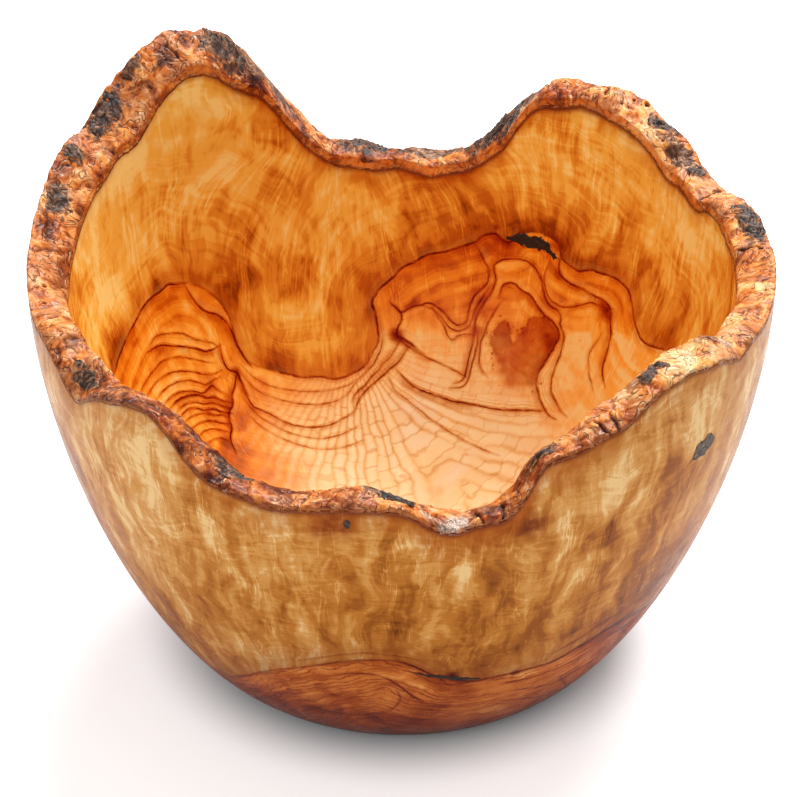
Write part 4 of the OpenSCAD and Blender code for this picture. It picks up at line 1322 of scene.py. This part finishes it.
def bark_paint():
    paint = Paint("edge_bark")
    relief, crest, grey, side, pale = (paint.attribute(n) for n in ("relief", "crest", "grey", "side", "pale"))
    place = paint.place()
    swirl = paint.noise(paint.wobble(place, 8, 7), 4.6, 3, 0.55, 1.6)
    fine = paint.noise(place, 1.1, 3, 0.6, 1.0)
    broad = paint.noise(place, 8, 2)
    tone = relief * 0.56 + (swirl - 0.5) * 0.8 + (fine - 0.5) * 0.12 + (broad - 0.5) * 0.9 + (pale - 0.5) * 0.4 + 0.2
    bare = paint.ramp(
        tone, (0.0, 88, 28, 4), (0.2, 154, 68, 16), (0.42, 212, 116, 44), (0.6, 238, 156, 76),
        (0.8, 250, 194, 118), (1.0, 255, 224, 166))
    tan = paint.ramp(
        tone, (0.0, 80, 32, 10), (0.2, 144, 76, 38), (0.42, 198, 126, 76), (0.6, 226, 164, 110),
        (0.8, 238, 194, 148), (1.0, 255, 228, 186))
    bare = paint.mix(bare, tan, paint.noise(place, 7, 3, 0.5, 1.0).step(0.42, 0.6, 0.1, 0.9))
    grey_tone = relief * 0.8 + (swirl - 0.5) * 1.2 + (fine - 0.5) * 0.6 + 0.02
    ash = paint.ramp(
        grey_tone, (0.0, 26, 13, 9), (0.3, 70, 44, 32), (0.55, 120, 86, 68), (0.8, 168, 122, 92),
        (1.0, 218, 176, 146))
    white, red = paint.attribute("white"), paint.attribute("red")
    fibres = paint.noise(paint.wobble(place, 2.5, 3), 1.0, 3, 0.6, 1.5)
    colour = paint.mix(bare, ash, grey.step(0.15, 0.75, 0, 0.9))
    tuft = paint.ramp(fibres, (0.3, 110, 74, 54), (0.5, 190, 164, 146), (0.65, 238, 224, 212))
    colour = paint.mix(colour, tuft, white.step(0.1, 0.6, 0, 0.9))
    colour = paint.darkened_through(colour, red * swirl.step(0.35, 0.65, 1.6, 0.5), [math.log(share) for share in RED_BARK])
    carved = paint.noise(paint.wobble(paint.wobble(place, 9, 12), 3.4, 3.6), 6.5, 1) * 9
    carved_areas = paint.noise(place, 6, 2)
    grooves_and_shade = carved.off_middle().fall(0.0, 0.14) * carved_areas.step(0.4, 0.52)
    glints = (carved + 0.2).off_middle().fall(0.0, 0.14) * (carved_areas + (swirl - 0.5) * 0.8).step(0.48, 0.62)
    # Painted highlights along the glints and crests, and painted shade along the grooves.
    colour = paint.mix(colour, srgb(255, 230, 192), (glints * 0.4 + crest * swirl.step(0.5, 0.7) * 0.25).step(0, 1))
    colour = paint.mix(colour, srgb(84, 32, 12), grooves_and_shade * 0.68)
    # Painted shade: the bark is darker in the crevices of the relief.
    crevice_shade = relief.fall(-0.3, 0.2)
    colour = paint.mix(colour, srgb(38, 16, 8), crevice_shade * 0.85)

    # The sides: bark over a thin red-brown line where it grew on the wood.
    ragged = (fine - 0.5) * 0.5 + (swirl - 0.5) * 0.4
    inner_face = side.step(0.08, 0.25) * (swirl + (broad - 0.5) * 0.8).step(0.4, 0.62, 0.25, 1)
    colour = paint.mix(colour, paint.ramp(tone, (0.2, 184, 96, 30), (0.5, 230, 146, 62), (0.8, 250, 194, 116)),
                       inner_face * 0.8)
    colour = paint.mix(colour, srgb(104, 34, 8), (side + ragged).step(0.66, 0.86) * 0.85)
    colour = paint.mix(colour, srgb(150, 78, 34), side.fall(-0.25, -0.08) * 0.45)
    colour = paint.mix(colour, srgb(112, 48, 20), (side - ragged).fall(-0.85, -0.6) * 0.7)
    gloss = swirl.step(0.35, 0.65, 0.26, 0.42) + grey * 0.12
    paint.set(Base_Color=colour, Roughness=gloss, Specular_IOR_Level=0.16, Coat_Weight=0.08, Coat_Roughness=0.18)
    paint.bump(fine * 0.15 + swirl * 0.5 + grooves_and_shade * -0.8, 0.34)
    return paint.material


build_rim()


# The flakes of outer bark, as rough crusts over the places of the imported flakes.
FLAKE_STEP = 0.34 * MM
DARKEST_FLAKE_DEG = 268.5
DARKEST_FLAKE = 0.7
FLAKE_GAP_DEG = 2.2
FLAKE_MARGIN = 0.8 * MM


def flake_groups():
    """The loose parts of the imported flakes, as arrays of their points."""
    points = np.array([v.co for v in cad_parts["outer_bark_flakes"].data.vertices])
    directions = np.degrees(direction_of(points)) % 360
    order = np.argsort(directions)
    groups = np.split(order, np.nonzero(np.diff(directions[order]) > FLAKE_GAP_DEG)[0] + 1)
    if directions[order[0]] + 360 - directions[order[-1]] < FLAKE_GAP_DEG and len(groups) > 1:
        groups[0] = np.concatenate([groups.pop(), groups[0]])
    return [points[g] for g in groups]


def bark_crust_paint():
    paint = Paint("outer_bark")
    place = paint.place()
    height, body = paint.attribute("relief"), paint.attribute("body")
    fine = paint.noise(place, 0.8, 3, 0.65)
    broad = paint.noise(place, 2.6, 3, 0.6, 1.8)
    tone = height * 0.5 + (broad - 0.5) * 1.3 + (fine - 0.5) * 0.6 + body * -0.2 + 0.3
    colour = paint.ramp(
        tone, (0.0, 20, 11, 8), (0.3, 60, 38, 28), (0.5, 106, 72, 52), (0.7, 154, 102, 70),
        (1.0, 214, 164, 126))
    brown = (body + (broad - 0.5) * 1.2).fall(0.25, 0.6)
    colour = paint.mix(colour, paint.ramp(tone, (0.2, 120, 62, 30), (0.5, 176, 108, 62), (0.9, 232, 176, 124)), brown)
    paint.set(Base_Color=colour, Roughness=broad.step(0.3, 0.7, 0.34, 0.56), Specular_IOR_Level=0.26,
              Coat_Weight=0.12, Coat_Roughness=0.22)
    paint.bump(fine + broad, 0.3)
    return paint.material


def flake_plate(points, seed):
    """One flake: its grid of points on top and the one under it, the value for its colour, and its body."""
    turn = direction_of(points.mean(0))
    radius = np.hypot(points[:, 0], points[:, 1])
    offset = turned(direction_of(points), turn) * RIM_RADIUS_MM * MM
    u = np.arange(offset.min() - FLAKE_MARGIN, offset.max() + FLAKE_MARGIN, FLAKE_STEP)
    v = np.arange(max(radius.min() - FLAKE_MARGIN, INNER_RADIUS + 0.2 * MM),
                  min(radius.max() + FLAKE_MARGIN, OUTER_RADIUS - 0.2 * MM), FLAKE_STEP)
    uu, vv = np.meshgrid(u, v)
    at = turn + uu / (RIM_RADIUS_MM * MM)
    share = (vv - INNER_RADIUS) / (OUTER_RADIUS - INNER_RADIUS)
    below = rim_height(at, share, rim_fields(at, share)[0])
    vv = across_wall(share, below)
    flat = polar(vv, at, seed)
    round_off = np.hypot((uu - (offset.min() + offset.max()) / 2) / ((offset.max() - offset.min()) / 2),
                         (vv - (radius.min() + radius.max()) / 2) / ((radius.max() - radius.min()) / 2))
    ragged = noise(flat, 4 * MM, 23) * 0.6 + noise(flat, 1.6 * MM, 24) * 0.4
    body = 1 - smooth_step(0.5, 1.05, round_off + ragged)
    bent = flat + np.stack([noise(flat, 3 * MM, 20 + k) for k in range(3)], -1) * 1.4 * MM
    cracks = 1 - smooth_step(0.0, 0.16, np.abs(noise(bent, 2.2 * MM, 25)))
    lumps = noise(bent, 1.5 * MM, 26)
    lift = (0.42 + 0.3 * lumps - 0.65 * cracks) * MM
    z = below + np.where(body > 0, lift * smooth_step(0, 0.45, body), 0) - 0.5 * MM * (1 - smooth_step(0, 0.25, body))
    z = np.minimum(z, cad_high.z - 0.01 * MM)
    darker = DARKEST_FLAKE if abs(math.degrees(turn) % 360 - DARKEST_FLAKE_DEG) < 6 else 0
    # The value is darker in the cracks: painted shade in them.
    value = 0.5 + 0.5 * lumps - 0.9 * cracks - darker
    return polar(vv, at, z), polar(vv, at, np.minimum(below - 0.9 * MM, z - 0.3 * MM)), value, body


def build_flakes():
    plates = [flake_plate(points, seed) for seed, points in enumerate(flake_groups())]
    piece = plates_object("bark_flakes", [(top, under) for top, under, _, _ in plates])
    for name, index in (("relief", 2), ("body", 3)):
        set_attribute(piece, name, np.concatenate([part for plate in plates
                                                   for part in (plate[index].ravel(), 0 * plate[index].ravel())]))
    finish_piece(piece, bark_crust_paint(), "outer_bark", "outer_bark_flakes")


build_flakes()


# Knots and bark pockets: small patches that lie on a wall, drawn in mm across and along it.
PATCH_DEPTH = 0.8 * MM


def wall_patch(name, slot, node, paint, inside, half_u, half_v, step, height_of, tilt=0.0, shift_deg=0.0):
    """A patch over a node in a wall. height_of(u, v) gives its height off the wall and a value for its colour."""
    low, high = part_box(node)
    centre = (low + high) / 2
    count_u, count_v = int(2 * half_u / step) + 1, int(2 * half_v / step) + 1
    uu, vv = np.meshgrid(np.linspace(-half_u, half_u, count_u), np.linspace(-half_v, half_v, count_v))
    lift, value = height_of(uu, vv)
    c, s = math.cos(math.radians(tilt)), math.sin(math.radians(tilt))
    along, up = uu * c - vv * s, uu * s + vv * c
    path, lengths = (inner_path, inner_lengths) if inside else (outer_path, outer_lengths)
    height = np.interp(centre.z, path[:, 1], lengths) + up * MM
    r, z = np.moveaxis(points_along(path, lengths, height), -1, 0)
    slope_r, slope_z = np.moveaxis(points_along(np.gradient(path, axis=0), lengths, height), -1, 0)
    size = np.hypot(slope_r, slope_z) * (-1 if inside else 1)
    at = math.radians(math.degrees(math.atan2(centre.y, centre.x)) + shift_deg) + along * MM / r

    def shell(off):
        return polar(r + slope_z / size * off, at, z - slope_r / size * off)

    pair = shell(lift * MM), shell(np.minimum(lift, 0) * MM - PATCH_DEPTH)
    piece = plates_object(name, [pair], flipped=inside)
    set_attribute(piece, "relief", np.concatenate([value.ravel(), value.ravel()]))
    finish_piece(piece, paint, slot, node)


def flat_points(u, v, seed):
    return np.stack([u, v, 0 * u + seed * 7.3], -1)


def crack_of(u, v, x, y, angle, length, width):
    """1 along a short crack that starts at a point and tapers, and 0 away from it."""
    c, s = math.cos(math.radians(angle)), math.sin(math.radians(angle))
    along, off = (u - x) * c + (v - y) * s, -(u - x) * s + (v - y) * c
    off = off + 0.16 * noise(flat_points(u, v, 3), 1.2, 5)
    taper = np.clip(1 - along / length, 0, 1) * width
    return np.where((along > -0.3) & (along < length), np.exp(-(off / (taper + 0.02)) ** 2), 0)


SIDE_KNOT_CRACKS = [
    (-2.6, -1.2, 205, 6.5, 0.22), (-1.6, 2.0, 120, 2.0, 0.2), (1.9, 1.8, 58, 2.0, 0.2),
    (0.0, 0.2, 95, 2.4, 0.2), (0.4, -0.3, 320, 3.2, 0.16), (-0.3, 0.0, 200, 2.8, 0.16)
]


def side_knot_height(u, v):
    p = flat_points(u, v, 1)
    around = np.arctan2(v, u)
    outline = 3.7 + 0.5 * np.sin(2 * around + 0.6) + 0.35 * np.sin(5 * around + 2) + 0.3 * noise(p, 1.4, 31)
    inside_by = outline - np.hypot((u + 0.12 * v) / 1.16, v / 0.86)
    body = smooth_step(-0.15, 0.2, inside_by)
    cracks = np.zeros_like(u)
    for x, y, angle, length, width in SIDE_KNOT_CRACKS:
        cracks = np.maximum(cracks, crack_of(u, v, x, y, angle, length, width))
    rough = noise(p, 0.9, 32) * 0.05 + noise(p, 2.4, 33) * 0.07
    sunk = smooth_step(0.0, 0.9, inside_by)
    lift = 0.14 + rough - 0.05 * sunk - 0.1 * cracks * (inside_by > 0.2)
    lift = np.where(body > 0.5, lift, np.where(cracks > 0.45, 0.05, -0.6))
    # The tone is darker along the cracks: painted shade in them.
    tone = 0.5 + 2.2 * rough - 0.75 * cracks + 0.15 * noise(p, 1.6, 34)
    return lift, tone


def pin_knot_height(u, v):
    p = flat_points(u, v, 2)
    outline = 1.0 + 0.14 * noise(p, 1.2, 41) + 0.1 * np.sin(3 * np.arctan2(v, u))
    inside_by = outline - np.hypot(u * 1.2, v * 0.72)
    lift = np.where(inside_by > 0, 0.08 + 0.05 * noise(p, 0.5, 42), -0.6)
    return lift, 0.42 + 0.4 * noise(p, 0.6, 43)


def pocket_height(length, width, bend, seed, hook=0.0):
    def height_of(u, v):
        p = flat_points(u, v, seed)
        middle = bend * np.cos(np.clip(u / length * math.pi, -math.pi, math.pi)) + 0.45 * noise(p * [1, 0, 1], 4, 51)
        middle -= hook * smooth_step(0.2, 0.52, -u / length)
        across = (v - middle) / (width / 2)
        taper = np.sqrt(np.clip(1 - (2 * u / length) ** 2, 0, 1))
        ragged = 0.5 * noise(p, 1.7, 52 + seed) + 0.28 * noise(p, 0.7, 53 + seed)
        inside_by = taper * (0.85 + 0.3 * noise(p * [1, 0, 1], 5, 54 + seed)) + ragged * 0.7 - np.abs(across)
        rough = noise(p, 0.8, 55) * 0.08
        lift = np.where(inside_by > 0, 0.12 + rough, -0.6)
        return lift, 0.4 + 3.0 * rough + 0.3 * noise(p, 1.5, 56)
    return height_of


def crust_material(name, *stops, rough=0.45):
    paint = Paint(name)
    place = paint.place()
    relief = paint.attribute("relief")
    fine = paint.noise(place, 0.5, 3, 0.6)
    broad = paint.noise(place, 1.8, 3, 0.6, 0.8)
    tone = relief + (fine - 0.5) * 0.5 + (broad - 0.5) * 0.7
    paint.set(Base_Color=paint.ramp(tone, *stops), Roughness=broad.step(0.3, 0.7, rough, rough + 0.2),
              Specular_IOR_Level=0.25, Coat_Weight=0.12, Coat_Roughness=0.2)
    paint.bump(fine + broad * 0.8, 0.12)
    return paint.material


knot_paint = crust_material(
    "dead_knot", (0.0, 18, 11, 8), (0.4, 60, 42, 32), (0.65, 96, 72, 58), (1.0, 144, 112, 90))
wall_patch("dead_knot", "dead_knot", "side_knot", knot_paint, False, 9, 8, 0.16, side_knot_height)
wall_patch("pin_knot_face", "dead_knot", "pin_knot", knot_paint, False, 2, 2.2, 0.1, pin_knot_height)

pocket_paint = crust_material(
    "bark_pocket", (0.0, 8, 4, 3), (0.45, 26, 11, 7), (0.75, 64, 26, 12), (1.0, 112, 50, 20), rough=0.32)
wall_patch("inner_pocket", "bark_inclusion", "inner_bark_pocket", pocket_paint, True, 11, 4, 0.16,
           pocket_height(17.5, 4.4, 0.5, 4, 2.4), shift_deg=-0.7)
wall_patch("lower_pocket", "bark_inclusion", "lower_bark_pocket", pocket_paint, False, 10.5, 3.5, 0.16,
           pocket_height(18.5, 1.7, -0.5, 9), tilt=-19)


# The floor and the light.
FLOOR_LIFT = 0.5
# The lift of the floor rises between these distances from the axis.
FLOOR_LIFT_FROM_MM = 54
FLOOR_LIFT_TO_MM = 80
FLOOR_RADIUS = 9
FLOOR_GAP = 0.2 * MM


def floor_material():
    """A white floor that the camera sees a little brighter away from the foot, where the shadow ends."""
    paint = Paint("floor")
    x, y, _ = paint.split(paint.place())
    distance = (x * x + y * y) ** 0.5
    lift = distance.step(FLOOR_LIFT_FROM_MM, FLOOR_LIFT_TO_MM, 0.0, FLOOR_LIFT)
    lift = lift * paint.node("LightPath", "Is Camera Ray")
    paint.set(Base_Color=(0.9, 0.9, 0.9, 1), Roughness=0.9, Specular_IOR_Level=0.1, Emission_Color=(1, 1, 1, 1),
              Emission_Strength=lift)
    return paint.material


bpy.ops.mesh.primitive_circle_add(vertices=128, radius=FLOOR_RADIUS, fill_type="NGON", location=(0, 0, -FLOOR_GAP))
floor = bpy.context.object
floor.name = "floor"
floor.data.materials.append(floor_material())


def area_light(name, place, size, power, aim):
    data = bpy.data.lights.new(name, "AREA")
    data.shape = "DISK"
    data.size = size
    data.energy = power
    made = bpy.data.objects.new(name, data)
    made.location = place
    made.rotation_euler = (Vector(aim) - Vector(place)).to_track_quat("-Z", "Y").to_euler()
    bpy.context.scene.collection.objects.link(made)


area_light("back_top", place=(0.3, 0.7, 1.24), size=1.1, power=29, aim=(0, 0, 0.05))
area_light("front", place=(-1.1, -1.4, 0.9), size=1.2, power=6, aim=(0, 0, 0.06))


# The world's strength on the object. The camera sees it white.
AMBIENT = 0.55


def make_world():
    world = bpy.data.worlds.new("studio")
    world.use_nodes = True
    tree = world.node_tree
    seen = make_node(tree, "LightPath", "Is Camera Ray", [])
    strength = make_node(tree, "MapRange", "Result", [("Value", seen), ("To Min", AMBIENT), ("To Max", 1.0)])
    background = tree.nodes["Background"]
    put(tree, background.inputs["Color"], (1, 1, 1, 1))
    put(tree, background.inputs["Strength"], strength)
    bpy.context.scene.world = world


make_world()
bpy.context.scene.view_settings.view_transform = "Standard"
